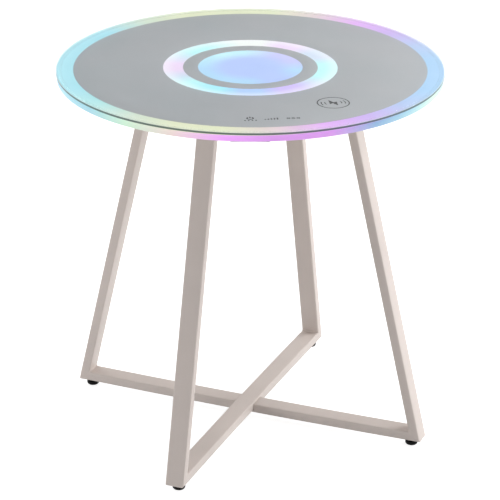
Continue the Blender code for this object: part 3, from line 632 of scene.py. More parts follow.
# Each opal's light, its even colour, the reaches between which that sets in, and its share
OUTER_OPAL = lit_opal("lit_opal_outer", OUTER_LIGHT, "FFFFFF", 0.276, 0.300, 0.05)
INNER_OPAL = lit_opal("lit_opal_inner", INNER_LIGHT, "FFFFFF", 0.112, 0.134, 0.38)
CENTRE_OPAL = lit_opal("lit_opal_centre", CENTRE_LIGHT, CENTRE_BLUE, 0.074, 0.036, 1.0)
RIM_OPAL = lit_opal("lit_frosted_rim", RIM_LIGHT, "FFFFFF", 0.290, 0.2985, 0.0)

PAINT = powder_coat()
ZINC = zinc_plate()
RUBBER = moulded_pad()
BLACK_ABS = grained_plastic("black_moulded_abs", "232324", "2A2A2B", 0.5)
WHITE_ABS = grained_plastic("white_moulded_abs", "E2E2E0", "E8E8E6", 0.45)
FIBREBOARD = sealed_fibreboard()
SOLDER_MASK = solder_mask()
STRIP_FILM = strip_film()
PHOSPHOR = diode_phosphor()
COPPER = enamelled_wire()
FERRITE = sintered_ferrite()
INK = screen_ink()


# Shapes

def heights(name):
    """Lowest and highest point of a CAD node."""
    low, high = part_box(name)
    return low.z, high.z


def polar(reach, angle):
    """The point at a reach and an angle from the middle."""
    return reach*math.cos(angle), reach*math.sin(angle)


def added(name, data):
    """A new object in the scene."""
    made = bpy.data.objects.new(name, data)
    bpy.context.scene.collection.objects.link(made)
    return made


def finished(name, bm, finishes, smooth=SMOOTH_ANGLE):
    """Turn a bmesh into a named object with its faces pointing out."""
    bmesh.ops.recalc_face_normals(bm, faces=bm.faces)
    mesh = bpy.data.meshes.new(name)
    bm.to_mesh(mesh)
    bm.free()
    for finish in finishes:
        mesh.materials.append(finish)
    mesh.shade_smooth()
    mesh.set_sharp_from_angle(angle=smooth)
    return added(name, mesh)


def tool(bm):
    """A body to cut with or to join on, which carve() uses up."""
    return finished("tool", bm, [])


def settle(piece, material_slot, *nodes, body="table"):
    """The piece rides on its body and stands for CAD nodes, which are hidden. Its material slot is not used.
    """
    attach(piece, body)
    if nodes:
        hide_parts(*nodes)


def plain(piece, smooth):
    """Fix what the piece's modifiers make in its own mesh."""
    piece.data = bpy.data.meshes.new_from_object(
        piece.evaluated_get(bpy.context.evaluated_depsgraph_get()))
    piece.modifiers.clear()
    piece.data.shade_smooth()
    piece.data.set_sharp_from_angle(angle=smooth)
    return piece


def carve(piece, tools, operation="DIFFERENCE"):
    """Cut tools out of a piece, or join them to it, and drop the tools."""
    for used in tools:
        modifier = piece.modifiers.new("carve", "BOOLEAN")
        modifier.operation = operation
        modifier.object = used
    plain(piece, SMOOTH_ANGLE)
    for used in tools:
        bpy.data.objects.remove(used, do_unlink=True)
    return piece


def turned(outline, facets=DISC_FACETS, finish_of=None):
    """Turn an outline of (radius, height) points round Z.

    An outline with both ends on the axis makes a solid, and any other a ring. finish_of gives
    the material index of each stretch of the outline.
    """
    bm = bmesh.new()
    rings = []
    for radius, height in outline:
        steps = facets if radius > 0 else 1
        rings.append([bm.verts.new((*polar(radius, math.tau*step/facets), height)) for step in range(steps)])
    pairs = list(zip(rings, rings[1:]))
    if len(rings[0]) > 1:
        pairs.append((rings[-1], rings[0]))
    for stretch, (low, high) in enumerate(pairs):
        for step in range(facets):
            after = (step+1) % facets
            corners = [low[step % len(low)], low[after % len(low)],
                       high[after % len(high)], high[step % len(high)]]
            face = bm.faces.new(list(dict.fromkeys(corners)))
            if finish_of:
                face.material_index = finish_of[stretch]
    return bm


def eased(low, high, edge):
    """(inset, height) levels up a side whose lower and upper edges are rounded."""
    middle = edge*EDGE_MIDDLE
    return ((edge, low), (middle, low+middle), (0, low+edge),
            (0, high-edge), (middle, high-middle), (edge, high))


def eased_disc(radius, low, high, edge):
    """Outline of a disc with both edges rounded."""
    return [(0, low)]+[(radius-inset, height) for inset, height in eased(low, high, edge)]+[(0, high)]


def rounded_under(radius, low, rounding, steps):
    """Outline points round the lower edge of a round piece."""
    turns = [math.pi/2*step/steps for step in range(steps+1)]
    return [(radius-rounding*(1-math.sin(turn)), low+rounding*(1-math.cos(turn))) for turn in turns]


def hexagon(radius, low, high, chamfer):
    """A hexagon with chamfered corners, as on nuts and collars."""
    return turned([(0, low), (radius-chamfer, low), (radius, low+chamfer), (radius, high-chamfer),
                   (radius-chamfer, high), (0, high)], 6)


def round_rod(radius, low, high, place=(0, 0), facets=SMALL_FACETS):
    """A plain upright rod to cut with. Six facets make it a hexagon."""
    bm = turned([(0, low), (radius, low), (radius, high), (0, high)], facets)
    bm.transform(Matrix.Translation((*place, 0)))
    return tool(bm)


def rounded_rectangle(length, width, radius, steps=CORNER_STEPS):
    """Points round a rectangle with rounded corners, centred on zero."""
    points = []
    for quarter in range(4):
        side_x = 1 if quarter in (0, 3) else -1
        side_y = 1 if quarter in (0, 1) else -1
        for step in range(steps+1):
            x, y = polar(radius, math.pi/2*(quarter+step/steps))
            points.append((side_x*(length/2-radius)+x, side_y*(width/2-radius)+y))
    return points


def wall(bm, low, high):
    """Faces between two closed loops of as many points."""
    for index in range(len(low)):
        after = (index+1) % len(low)
        bm.faces.new((low[index], low[after], high[after], high[index]))


def walls(bm, sections):
    """Walls through closed sections of as many points. It gives back their vertices."""
    loops = [[bm.verts.new(point) for point in section] for section in sections]
    for low, high in zip(loops, loops[1:]):
        wall(bm, low, high)
    return loops


def loft(sections):
    """A solid through closed sections."""
    bm = bmesh.new()
    loops = walls(bm, sections)
    bm.faces.new(loops[0])
    bm.faces.new(loops[-1])
    return bm


def hollow(outer_sections, inner_sections):
    """An open-ended tube through matching outer and inner sections."""
    bm = bmesh.new()
    outer = walls(bm, outer_sections)
    inner = walls(bm, inner_sections)
    for end in (0, -1):
        wall(bm, outer[end], inner[end])
    return bm


def block(length, width, corner, levels, steps=CORNER_STEPS):
    """An upright block with rounded corners, through (inset, height) levels."""
    sections = []
    for inset, height in levels:
        outline = rounded_rectangle(length-2*inset, width-2*inset, corner-inset, steps)
        sections.append([(x, y, height) for x, y in outline])
    return loft(sections)


def turn_to(bm, angle, reach=0.0):
    """Move a bmesh out along X and turn it round the table's middle."""
    bm.transform(Matrix.Rotation(angle, 4, "Z") @ Matrix.Translation((reach, 0, 0)))
    return bm


# Lines of the frames in their own plane, as in the CAD model
LEG_TOP = heights("leg_right")[1]
LEG_TOP_REACH = 0.5667*TABLE_RADIUS
LEAN = math.atan2(FOOT_REACH-LEG_TOP_REACH, LEG_TOP-FOOT_HEIGHT)
MITRE_SLOPE = math.tan(LEAN)+1/math.cos(LEAN)
LEG_MIDDLE_REACH = LEG_TOP_REACH-TUBE_DEPTH/math.cos(LEAN)/2


def tube_profile(inner):
    """Section of the tube: (depth from its outer face, place across its width)."""
    gap = TUBE_WALL if inner else 0
    radius = TUBE_INNER_ROUNDING if inner else TUBE_ROUNDING
    points = rounded_rectangle(TUBE_DEPTH-2*gap, TUBE_WIDTH-2*gap, radius)
    return [(along+TUBE_DEPTH/2, across) for along, across in points]


def mitre_point(depth):
    """Where the tubes' lines at one depth meet at the foot: (reach, height)."""
    return FOOT_REACH-depth*MITRE_SLOPE, FOOT_HEIGHT+depth


def mitre_section(inner, side=1):
    """The tube's section at the mitre, on one side of the table's middle."""
    section = []
    for depth, across in tube_profile(inner):
        reach, height = mitre_point(depth)
        section.append((side*reach, across, height))
    return section


def leg_end(inner, height):
    """The leg's level section near its upper end."""
    return [(LEG_TOP_REACH-depth/math.cos(LEAN), across, height) for depth, across in tube_profile(inner)]


def leg_sections(inner):
    """The leg from its mitre to its level upper end, in the plane of the right leg."""
    return [mitre_section(inner), leg_end(inner, LEG_TOP)]


def bar_sections(inner, bow):
    """The bar from mitre to mitre along X, its middle bent up by the bow."""
    bend_reach = mitre_point(TUBE_DEPTH)[0]-TUBE_WALL
    middle = []
    for step in range(BAR_STEPS+1):
        share = 2*step/BAR_STEPS-1
        lift = FOOT_HEIGHT+bow*(1-share*share)
        middle.append([(share*bend_reach, across, lift+depth) for depth, across in tube_profile(inner)])
    return [mitre_section(inner, -1)]+middle+[mitre_section(inner)]


# Geometry Nodes

# What the trees' inputs are, where they aren't plain numbers
INPUT_KINDS = {"Facets": "Int", "Count": "Int", "Place": "Vector", "Pattern": "Object", "Finish": "Material"}


def new_tree(name, *sizes):
    """A geometry tree, and the sockets of its host's geometry, of each named size and of its finish."""
    tree = bpy.data.node_groups.new(name, "GeometryNodeTree")
    for way in ("INPUT", "OUTPUT"):
        tree.interface.new_socket("Geometry", in_out=way, socket_type="NodeSocketGeometry")
    for label in (*sizes, "Finish"):
        kind = "NodeSocket"+INPUT_KINDS.get(label, "Float")
        tree.interface.new_socket(label, in_out="INPUT", socket_type=kind)
    return tree, node(tree, "NodeGroupInput").outputs


def close_tree(tree, geometry, size):
    """End a tree in Realize Instances and Set Material."""
    whole = geo(tree, "RealizeInstances", {"Geometry": geometry})
    painted = geo(tree, "SetMaterial", {"Geometry": whole, "Material": size["Finish"]})
    node(tree, "NodeGroupOutput", {"Geometry": painted})
    return tree


def moved(tree, geometry, place):
    """Move geometry to a place."""
    return geo(tree, "Transform", {"Geometry": geometry, "Translation": place})


def raised(tree, geometry, height):
    """Lift geometry to a height."""
    return moved(tree, geometry, shade(tree, "CombineXYZ", {"Z": height}))


def swept(tree, curve, profile, extra=None):
    """A profile carried along a curve, closed at its ends."""
    return geo(tree, "CurveToMesh", {
        "Curve": curve, "Profile Curve": profile, "Fill Caps": True, **(extra or {})})


def round_profile(tree, facets, radius):
    """A round profile."""
    return geo(tree, "CurvePrimitiveCircle", {"Resolution": facets, "Radius": radius})


def flat_profile(tree, width, height):
    """A rectangular profile."""
    return geo(tree, "CurvePrimitiveQuadrilateral", {"Width": width, "Height": height})


def grow(host, tree, sizes, smooth=SMOOTH_ANGLE):
    """Run a tree on a host object and fix the result in the host's mesh."""
    modifier = host.modifiers.new(tree.name, "NODES")
    modifier.node_group = tree
    sockets = {item.name: item.identifier for item in tree.interface.items_tree
               if item.item_type == "SOCKET" and item.in_out == "INPUT"}
    for label, value in sizes.items():
        modifier[sockets[label]] = value
    return plain(host, smooth)


def lines_host(name, lines=()):
    """An object made of edges: each line is (points, whether it closes on itself)."""
    points = []
    edges = []
    for line, closed in lines:
        first = len(points)
        points += [Vector(point) for point in line]
        edges += [(first+index, first+index+1) for index in range(len(line)-1)]
        if closed:
            edges.append((len(points)-1, first))
    mesh = bpy.data.meshes.new(name)
    mesh.from_pydata(points, edges, [])
    return added(name, mesh)


def flat_ring_tree():
    """A flat band swept round the table: a rectangle with rounded edges, carried round a circle."""
    tree, size = new_tree("flat_ring", "Middle Radius", "Width", "Thickness", "Rounding",
                          "Middle Height", "Facets")
    circle = round_profile(tree, size["Facets"], size["Middle Radius"])
    level = geo(tree, "SetCurveNormal", {
        "mode": "Z_UP", "Curve": raised(tree, circle, size["Middle Height"])})
    softened = geo(tree, "FilletCurve", {
        "mode": "POLY", "Count": 2, "Curve": flat_profile(tree, size["Width"], size["Thickness"]),
        "Radius": size["Rounding"]})
    band = geo(tree, "CurveToMesh", {"Curve": level, "Profile Curve": softened})
    return close_tree(tree, band, size)


def weld_bead_tree():
    """A weld bead laid along lines, its width rippled by each drop of the weld."""
    tree, size = new_tree("weld_bead", "Bead Radius", "Step", "Ripple Pitch", "Ripple Depth")
    path = geo(tree, "MeshToCurve", {"Mesh": size["Geometry"]})
    stepped = geo(tree, "ResampleCurve", {"mode": "LENGTH", "Curve": path, "Length": size["Step"]})
    along = geo(tree, "SplineParameter").outputs["Length"]
    phase = reckon(tree, "MULTIPLY", reckon(tree, "DIVIDE", along, size["Ripple Pitch"]), math.tau)
    swell = reckon(tree, "MULTIPLY_ADD", reckon(tree, "SINE", phase), size["Ripple Depth"], 1.0)
    profile = round_profile(tree, WELD_FACETS, size["Bead Radius"])
    return close_tree(tree, swept(tree, stepped, profile, {"Scale": swell}), size)


def ink_line_tree():
    """Ink drawn along lines with a flat nib."""
    tree, size = new_tree("ink_line", "Line Width", "Thickness")
    path = geo(tree, "MeshToCurve", {"Mesh": size["Geometry"]})
    level = geo(tree, "SetCurveNormal", {"mode": "Z_UP", "Curve": path})
    nib = flat_profile(tree, size["Line Width"], size["Thickness"])
    return close_tree(tree, swept(tree, level, nib), size)


def thread_tree():
    """A screw thread: a small ridge wound round the stud, joined to the stud's core."""
    tree, size = new_tree("screw_thread", "Crest Radius", "Depth", "Pitch", "Length", "Place")
    middle = reckon(tree, "SUBTRACT", size["Crest Radius"], size["Depth"])
    spiral = geo(tree, "CurveSpiral", {
        "Resolution": THREAD_STEPS, "Rotations": reckon(tree, "DIVIDE", size["Length"], size["Pitch"]),
        "Start Radius": middle, "End Radius": middle, "Height": size["Length"]})
    ridge = round_profile(tree, RIDGE_FACETS, size["Depth"])
    thread = swept(tree, moved(tree, spiral, size["Place"]), ridge)
    both = geo(tree, "JoinGeometry", {"Geometry": thread})
    tree.links.new(size["Geometry"], both.inputs["Geometry"])
    return close_tree(tree, both, size)


def copies_tree():
    """The same small part at each point of the host."""
    tree, size = new_tree("copies_at_points", "Pattern")
    pattern = geo(tree, "ObjectInfo", {"Object": size["Pattern"]}).outputs["Geometry"]
    copies = geo(tree, "InstanceOnPoints", {"Points": size["Geometry"], "Instance": pattern})
    return close_tree(tree, copies, size)


def row_tree():
    """Small parts spaced evenly round a circle, each turned to face outwards."""
    tree, size = new_tree("row_round_circle", "Radius", "Height", "Count", "Pattern")
    circle = geo(tree, "MeshCircle", {"Vertices": size["Count"], "Radius": size["Radius"]})
    flat = shade(tree, "VectorMath", {
        "operation": "MULTIPLY", 0: geo(tree, "InputPosition"), 1: (1.0, 1.0, 0.0)})
    facing = node(tree, "FunctionNodeAlignRotationToVector", {"axis": "X", "Vector": flat})
    pattern = geo(tree, "ObjectInfo", {"Object": size["Pattern"]}).outputs["Geometry"]
    copies = geo(tree, "InstanceOnPoints", {
        "Points": raised(tree, circle, size["Height"]), "Instance": pattern, "Rotation": facing})
    return close_tree(tree, copies, size)


def winding_tree():
    """Flat coil: one wire wound outwards from the eye."""
    tree, size = new_tree("flat_winding", "Eye Radius", "Outer Radius", "Turns", "Wire Radius", "Place")
    spiral = geo(tree, "CurveSpiral", {
        "Resolution": COIL_STEPS, "Height": 0.0, "Rotations": size["Turns"],
        "Start Radius": size["Eye Radius"], "End Radius": size["Outer Radius"]})
    wire = round_profile(tree, WIRE_FACETS, size["Wire Radius"])
    return close_tree(tree, swept(tree, moved(tree, spiral, size["Place"]), wire), size)


FLAT_RING = flat_ring_tree()
WELD_BEAD = weld_bead_tree()
INK_LINE = ink_line_tree()
SCREW_THREAD = thread_tree()
COPIES = copies_tree()
ROW = row_tree()
WINDING = winding_tree()


# Top

def glass_disc():
    """The glass with ground edges, its bevels in three steps."""
    low, high = heights("glass_top")
    outline = eased_disc(TABLE_RADIUS, low, high, GLASS_BEVEL)
    piece = finished("glass_disc", turned(outline, finish_of=(3, 1, 1, 1, 2, 2, 0)),
                     [GLASS, GLASS_EDGE, GLASS_BEVELS, GLASS_LOWER_FACE], GLASS_SMOOTH_ANGLE)
    settle(piece, "clear_glass", "glass_top")


def flat_rings():
    """The two grey prints and the clear seal, swept round the table between glass and plate."""
    for name, (inner, outer), finish, material_slot, cad in (
            ("outer_print", OUTER_PRINT, PRINT, "grey_print", "print_film_outer"),
            ("inner_print", INNER_PRINT, PRINT, "grey_print", "print_film_inner"),
            ("clear_edge_seal", SEAL, SILICONE, "clear_seal", "edge_seal")):
        low, high = heights(cad)
        piece = grow(lines_host(name), FLAT_RING, {
            "Middle Radius": (inner+outer)/2, "Width": outer-inner, "Thickness": high-low,
            "Rounding": (high-low)*FILM_ROUNDING_SHARE, "Middle Height": (low+high)/2, "Facets": DISC_FACETS,
            "Finish": finish})
        settle(piece, material_slot, cad)


def opal_disc():
    """The light plate. Walls below part its light into a middle, an inner ring and an outer ring."""
    low, high = heights("diffuser_plate")
    outline = [(0, low), (CENTRE_PLATE_RADIUS, low), (INNER_PLATE_RADIUS, low), (RIM_RADIUS-SKIN, low),
               (RIM_RADIUS, low+SKIN), (RIM_RADIUS, high-SKIN), (RIM_RADIUS-SKIN, high),
               (INNER_PLATE_RADIUS, high), (CENTRE_PLATE_RADIUS, high), (0, high)]
    piece = finished("opal_disc", turned(outline, finish_of=(0, 1, 2, 3, 3, 3, 2, 1, 0)),
                     [CENTRE_OPAL, INNER_OPAL, OUTER_OPAL, RIM_OPAL])
    settle(piece, "opal_plate", "diffuser_plate")


def glowing_rim():
    """The frosted ring round the side, rounded at its lower edge."""
    low, high = heights("rim_light_ring")
    outline = [(RIM_INNER_RADIUS, low), *rounded_under(RIM_RADIUS, low, RIM_ROUNDING, CORNER_STEPS),
               (RIM_RADIUS, high), (RIM_INNER_RADIUS, high)]
    settle(finished("glowing_rim", turned(outline), [RIM_OPAL]), "frosted_rim", "rim_light_ring")


def light_tray():
    """The white tray with its light walls and the ledge for the rim ring."""
    low, wall_top = heights("base_tray")
    ledge = heights("rim_light_ring")[0]-SKIN
    floor = low+TRAY_FLOOR
    outline = [(0, low), (TRAY_EDGE_RADIUS-SKIN, low), (TRAY_EDGE_RADIUS, low+SKIN),
               (TRAY_EDGE_RADIUS, ledge-SKIN), (TRAY_EDGE_RADIUS-SKIN, ledge), (TRAY_STEP_RADIUS, ledge),
               (TRAY_STEP_RADIUS, floor)]
    for inner in reversed(LIGHT_WALL_RADII):
        outer = inner+LIGHT_WALL
        outline += [(outer, floor), (outer, wall_top), (inner, wall_top), (inner, floor)]
    outline.append((0, floor))
    settle(finished("light_tray", turned(outline), [WHITE_ABS]), "white_tray", "base_tray")


def carrier_board():
    """The board that the frames are screwed to, its edges broken with sandpaper."""
    low, high = heights("base_board")
    outline = eased_disc(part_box("base_board")[1].x, low, high, BOARD_EDGE)
    settle(finished("carrier_board", turned(outline), [FIBREBOARD]), "plain_board", "base_board")


# Marks on the print, drawn in millimetres

def arc(middle, radius, first=0.0, last=360.0, steps=48):
    """Points of an arc, in degrees, and whether it closes. A whole circle leaves out its last point."""
    whole = last-first >= 360
    points = []
    for step in range(steps if whole else steps+1):
        x, y = polar(radius, math.radians(first+(last-first)*step/steps))
        points.append((middle[0]+x, middle[1]+y))
    return points, whole


def strokes(*ends):
    """Straight strokes, each from (x, y) to (x, y)."""
    return [([(x1, y1), (x2, y2)], False) for x1, y1, x2, y2 in ends]


def laid_out(points, place, turn):
    """Points in millimetres, laid on the print at a place and turned."""
    height = heights("print_film_outer")[1]+INK_THICKNESS/2
    spots = []
    for x, y in points:
        x, y = x/1000, y/1000
        spots.append((place[0]+x*math.cos(turn)-y*math.sin(turn),
                      place[1]+x*math.sin(turn)+y*math.cos(turn), height))
    return spots


def draw(name, lines, place, line_width):
    """Ink some lines on the print."""
    host = lines_host(name, [(laid_out(points, place, TOUCH_ROW_TURN), closed) for points, closed in lines])
    piece = grow(host, INK_LINE, {"Line Width": line_width, "Thickness": INK_THICKNESS, "Finish": INK})
    settle(piece, "grey_print")


def touch_marks():
    """Three touch marks in a row: on and off, brightness, colour."""
    power = [arc((0, 3.6), 4.6, 125, 415, 30), *strokes((0, 4.2, 0, 9.8))]
    power += strokes(*[(x, -7.6, x, -4.0) for x in (-8.1, -2.7, 2.7, 8.1)])
    draw("power_mark", power, POWER_PLACE, line_width=0.0021)
    tips = ((-9.0, -0.6), (-4.5, 0.6), (0, 1.8), (4.5, 3.0), (9.0, 4.2))
    rising = strokes(*[(x, -3.6, x, tip) for x, tip in tips])
    draw("brightness_mark", rising, BRIGHTNESS_PLACE, line_width=0.0022)
    circles = [arc((x, 0), 2.0, steps=28) for x in (-7.2, 0, 7.2)]
    draw("colour_mark", circles, COLOUR_PLACE, line_width=0.0017)


def charging_mark():
    """A ring with a bolt and waves in it, over the charging coil."""
    ring = [arc((0, 0), CHARGE_RING_RADIUS*1000, steps=96)]
    draw("charging_ring", ring, CHARGE_PLACE, line_width=0.0019)
    waves = [arc((0, 0), radius, first, first+44, 16) for radius in (12.5, 18.0) for first in (-14, 166)]
    draw("charging_waves", waves, CHARGE_PLACE, line_width=0.0016)
    bolt = [(-6.2, 12.5), (-5.6, -5.0), (-0.6, -2.0), (6.2, -12.5), (5.6, 5.0), (0.6, 2.0)]
    laid = laid_out(bolt, CHARGE_PLACE, TOUCH_ROW_TURN)
    bm = loft([[(x, y, z+half) for x, y, z in laid] for half in (-INK_THICKNESS/2, INK_THICKNESS/2)])
    settle(finished("charging_bolt", bm, [INK]), "grey_print")


# Frames

def legs():
    """Four legs from one pattern."""
    for side, angle in SIDES.items():
        bm = turn_to(hollow(leg_sections(False), leg_sections(True)), angle)
        settle(finished(side+"_leg", bm, [PAINT]), "frame_paint", "leg_"+side)


def bars():
    """The lower bar with its notch and the upper bar that lies in it."""
    low, high = FOOT_HEIGHT-BAR_BOW-CUT_MARGIN, FOOT_HEIGHT+BAR_BOW+TUBE_WALL+CUT_MARGIN
    notch_levels = ((0, FOOT_HEIGHT+BAR_BOW-SKIN), (0, FOOT_HEIGHT+TUBE_DEPTH+CUT_MARGIN))
    for name, bow, angle, cad in (("lower_bar", -BAR_BOW, 0.0, "bar_a"),
                                  ("upper_bar", BAR_BOW, math.pi/2, "bar_b")):
        bm = hollow(bar_sections(False, bow), bar_sections(True, bow))
        bar = finished(name, turn_to(bm, angle), [PAINT])
        carve(bar, [round_rod(STUD_RADIUS+SKIN, low, high, polar(reach, angle))
                    for reach in (-FOOT_AXIS_REACH, FOOT_AXIS_REACH, 0)])
        if name == "lower_bar":
            carve(bar, [tool(block(TUBE_WIDTH+2*SKIN, TUBE_WIDTH+2*CUT_MARGIN, NOTCH_CORNER,
                                   notch_levels, 1))])
        settle(bar, "frame_paint", cad)


def plate_screw_places(angle):
    """Where one plate's two screws stand."""
    turn = Matrix.Rotation(angle, 2)
    return [tuple(turn @ Vector((LEG_MIDDLE_REACH, side*PLATE_SCREW_SPACING/2))) for side in (-1, 1)]


def plates():
    """The plates on the legs' upper ends, drilled for their screws."""
    low, high = heights("top_plate_right")
    for side, angle in SIDES.items():
        bm = block(PLATE_WIDTH, PLATE_LENGTH, PLATE_CORNER, eased(low, high, PLATE_EDGE))
        plate = finished(side+"_plate", turn_to(bm, angle, LEG_MIDDLE_REACH), [PAINT])
        carve(plate, [round_rod(PLATE_HOLE_RADIUS, low-CUT_MARGIN, high+CUT_MARGIN, place)
                      for place in plate_screw_places(angle)])
        settle(plate, "frame_paint", "top_plate_"+side)


def welds():
    """Weld beads in the inner corner of each foot and round each leg under its plate."""
    half = TUBE_WIDTH/2-WELD_RADIUS*WELD_END_GAP
    reach, height = mitre_point(TUBE_DEPTH)
    inset = WELD_RADIUS*WELD_SINK
    lines = []
    for angle in SIDES.values():
        turn = Matrix.Rotation(angle, 3, "Z")
        corner = [(reach-inset, across, height+inset) for across in (-half, half)]
        for points, closed in ((corner, False), (leg_end(False, LEG_TOP-inset), True)):
            lines.append(([turn @ Vector(point) for point in points], closed))
    piece = grow(lines_host("weld_beads", lines), WELD_BEAD, {
        "Bead Radius": WELD_RADIUS, "Step": WELD_STEP, "Ripple Pitch": WELD_RIPPLE_PITCH,
        "Ripple Depth": WELD_RIPPLE_DEPTH, "Finish": PAINT}, ROUND_SMOOTH_ANGLE)
    settle(piece, "frame_paint")


def screw_pattern(head_radius, head_height, shank_radius, shank_length):
    """A pan-head screw with a hexagon recess, its head's underside at z = 0 and pointing down."""
    outline = [(0, shank_length), (shank_radius*0.5, shank_length), (shank_radius, shank_length-shank_radius),
               (shank_radius, 0), (head_radius*HEAD_UNDERSIDE, 0), (head_radius, -head_height*HEAD_RIM)]
    for step in range(1, CORNER_STEPS+1):
        x, y = polar(1.0, math.pi/2*step/CORNER_STEPS)
        outline.append((head_radius*(HEAD_FLAT+(1-HEAD_FLAT)*x), -head_height*(HEAD_RIM+(1-HEAD_RIM)*y)))
    outline.append((0, -head_height))
    screw = finished("screw_pattern", turned(outline, SCREW_FACETS), [ZINC])
    return carve(screw, [round_rod(head_radius*RECESS_RADIUS, -head_height-CUT_MARGIN,
                                   -head_height*RECESS_END, facets=6)])


def screw_set(name, sizes, places, *nodes):
    """Copies of one screw at some places, in one piece."""
    pattern = screw_pattern(*sizes)
    host = lines_host(name, [([place], False) for place in places])
    piece = grow(host, COPIES, {"Pattern": pattern, "Finish": ZINC})
    settle(piece, "zinc", *nodes)
    bpy.data.objects.remove(pattern, do_unlink=True)


def screws():
    """The plates' eight screws and the control box's two."""
    level = heights("top_plate_right")[0]-SKIN
    places = [(*place, level) for angle in SIDES.values() for place in plate_screw_places(angle)]
    names = ["plate_screw_%s_%d" % (side, number) for side in SIDES for number in (1, 2)]
    screw_set("plate_screws", PLATE_SCREW, places, *names)
    level = heights("control_box")[1]-CONTROL_TAB_THICKNESS-SKIN
    places = [(*polar(CONTROL_REACH+side*CONTROL_SCREW_OFFSET, CONTROL_AZIMUTH), level) for side in (-1, 1)]
    screw_set("control_screws", CONTROL_SCREW, places, "control_box_screw_inner", "control_box_screw_outer")


def hexagon_nut(name, cad, place, bore, radius):
    """A hexagon nut with chamfered corners and a round bore."""
    low, high = heights(cad)
    bm = hexagon(radius, low, high, NUT_CHAMFER)
    bm.transform(Matrix.Translation((*place, 0)))
    nut = finished(name, bm, [ZINC])
    carve(nut, [round_rod(bore, low-CUT_MARGIN, high+CUT_MARGIN, place)])
    settle(nut, "zinc", cad)


def crossing():
    """The socket-head bolt under the crossing and the nut inside the upper bar."""
    low, high = heights("cross_bolt")
    head_high = FOOT_HEIGHT-BAR_BOW-SKIN
    outline = [(0, low), (BOLT_FACE_RADIUS, low), (BOLT_SHOULDER_RADIUS, low+BOLT_SHOULDER_HEIGHT),
               (BOLT_HEAD_RADIUS, head_high-BOLT_HEAD_EDGE), (BOLT_HEAD_RADIUS, head_high),
               (STUD_RADIUS, head_high), (STUD_RADIUS, high-BOLT_TIP), (STUD_RADIUS-BOLT_TIP, high),
               (0, high)]
    bolt = finished("crossing_bolt", turned(outline, SMALL_FACETS), [ZINC])
    carve(bolt, [round_rod(BOLT_SOCKET_RADIUS, low-CUT_MARGIN, low+BOLT_SOCKET_DEPTH, facets=6)])
    settle(bolt, "zinc", "cross_bolt")
    hexagon_nut("crossing_nut", "cross_nut", (0, 0), CROSS_NUT_BORE, CROSS_NUT_RADIUS)


# Feet

def pads():
    """The pads: round, rounded under, with a blind hole for the stud's tip."""
    for side, angle in SIDES.items():
        top = heights("foot_pad_"+side)[1]
        outline = [(0, 0.0), *rounded_under(PAD_RADIUS, 0.0, PAD_ROUNDING, PAD_STEPS),
                   *[(PAD_RADIUS-inset, height) for inset, height in eased(0.0, top, PAD_RIM_BEVEL)[3:]],
                   (STUD_RADIUS+SKIN, top), (STUD_RADIUS+SKIN, top-PAD_HOLE_DEPTH), (0, top-PAD_HOLE_DEPTH)]
        bm = turn_to(turned(outline, PAD_FACETS), angle, FOOT_AXIS_REACH)
        pad = finished(side+"_pad", bm, [RUBBER], PAD_SMOOTH_ANGLE)
        settle(pad, "black_pad", "foot_pad_"+side, body="pad_"+side)


def studs():
    """The studs with their hexagon collars, threaded above the collar, and their nuts in the bar."""
    collar_high = FOOT_HEIGHT-SKIN
    core = STUD_RADIUS-THREAD_DEPTH
    for side, angle in SIDES.items():
        low, high = heights("foot_stud_"+side)
        place = polar(FOOT_AXIS_REACH, angle)
        stud = finished(side+"_stud", turned([
            (0, low), (STUD_RADIUS, low), (STUD_RADIUS, collar_high), (core, collar_high),
            (core, high-STUD_TIP), (core-STUD_TIP, high), (0, high)], SCREW_FACETS), [ZINC])
        collar = hexagon(COLLAR_RADIUS, collar_high-COLLAR_HEIGHT, collar_high, COLLAR_CHAMFER)
        carve(stud, [tool(collar)], "UNION")
        stud.data.transform(Matrix.Translation((*place, 0)))
        grow(stud, SCREW_THREAD, {
            "Crest Radius": STUD_RADIUS, "Depth": THREAD_DEPTH, "Pitch": THREAD_PITCH,
            "Length": high-collar_high-THREAD_RUN_OUT, "Place": (*place, collar_high+THREAD_START),
            "Finish": ZINC})
        settle(stud, "zinc", "foot_stud_"+side, body="stud_"+side)
        hexagon_nut(side+"_foot_nut", "foot_nut_"+side, place, STUD_RADIUS+SKIN, FOOT_NUT_RADIUS)


# Control box and inner pieces

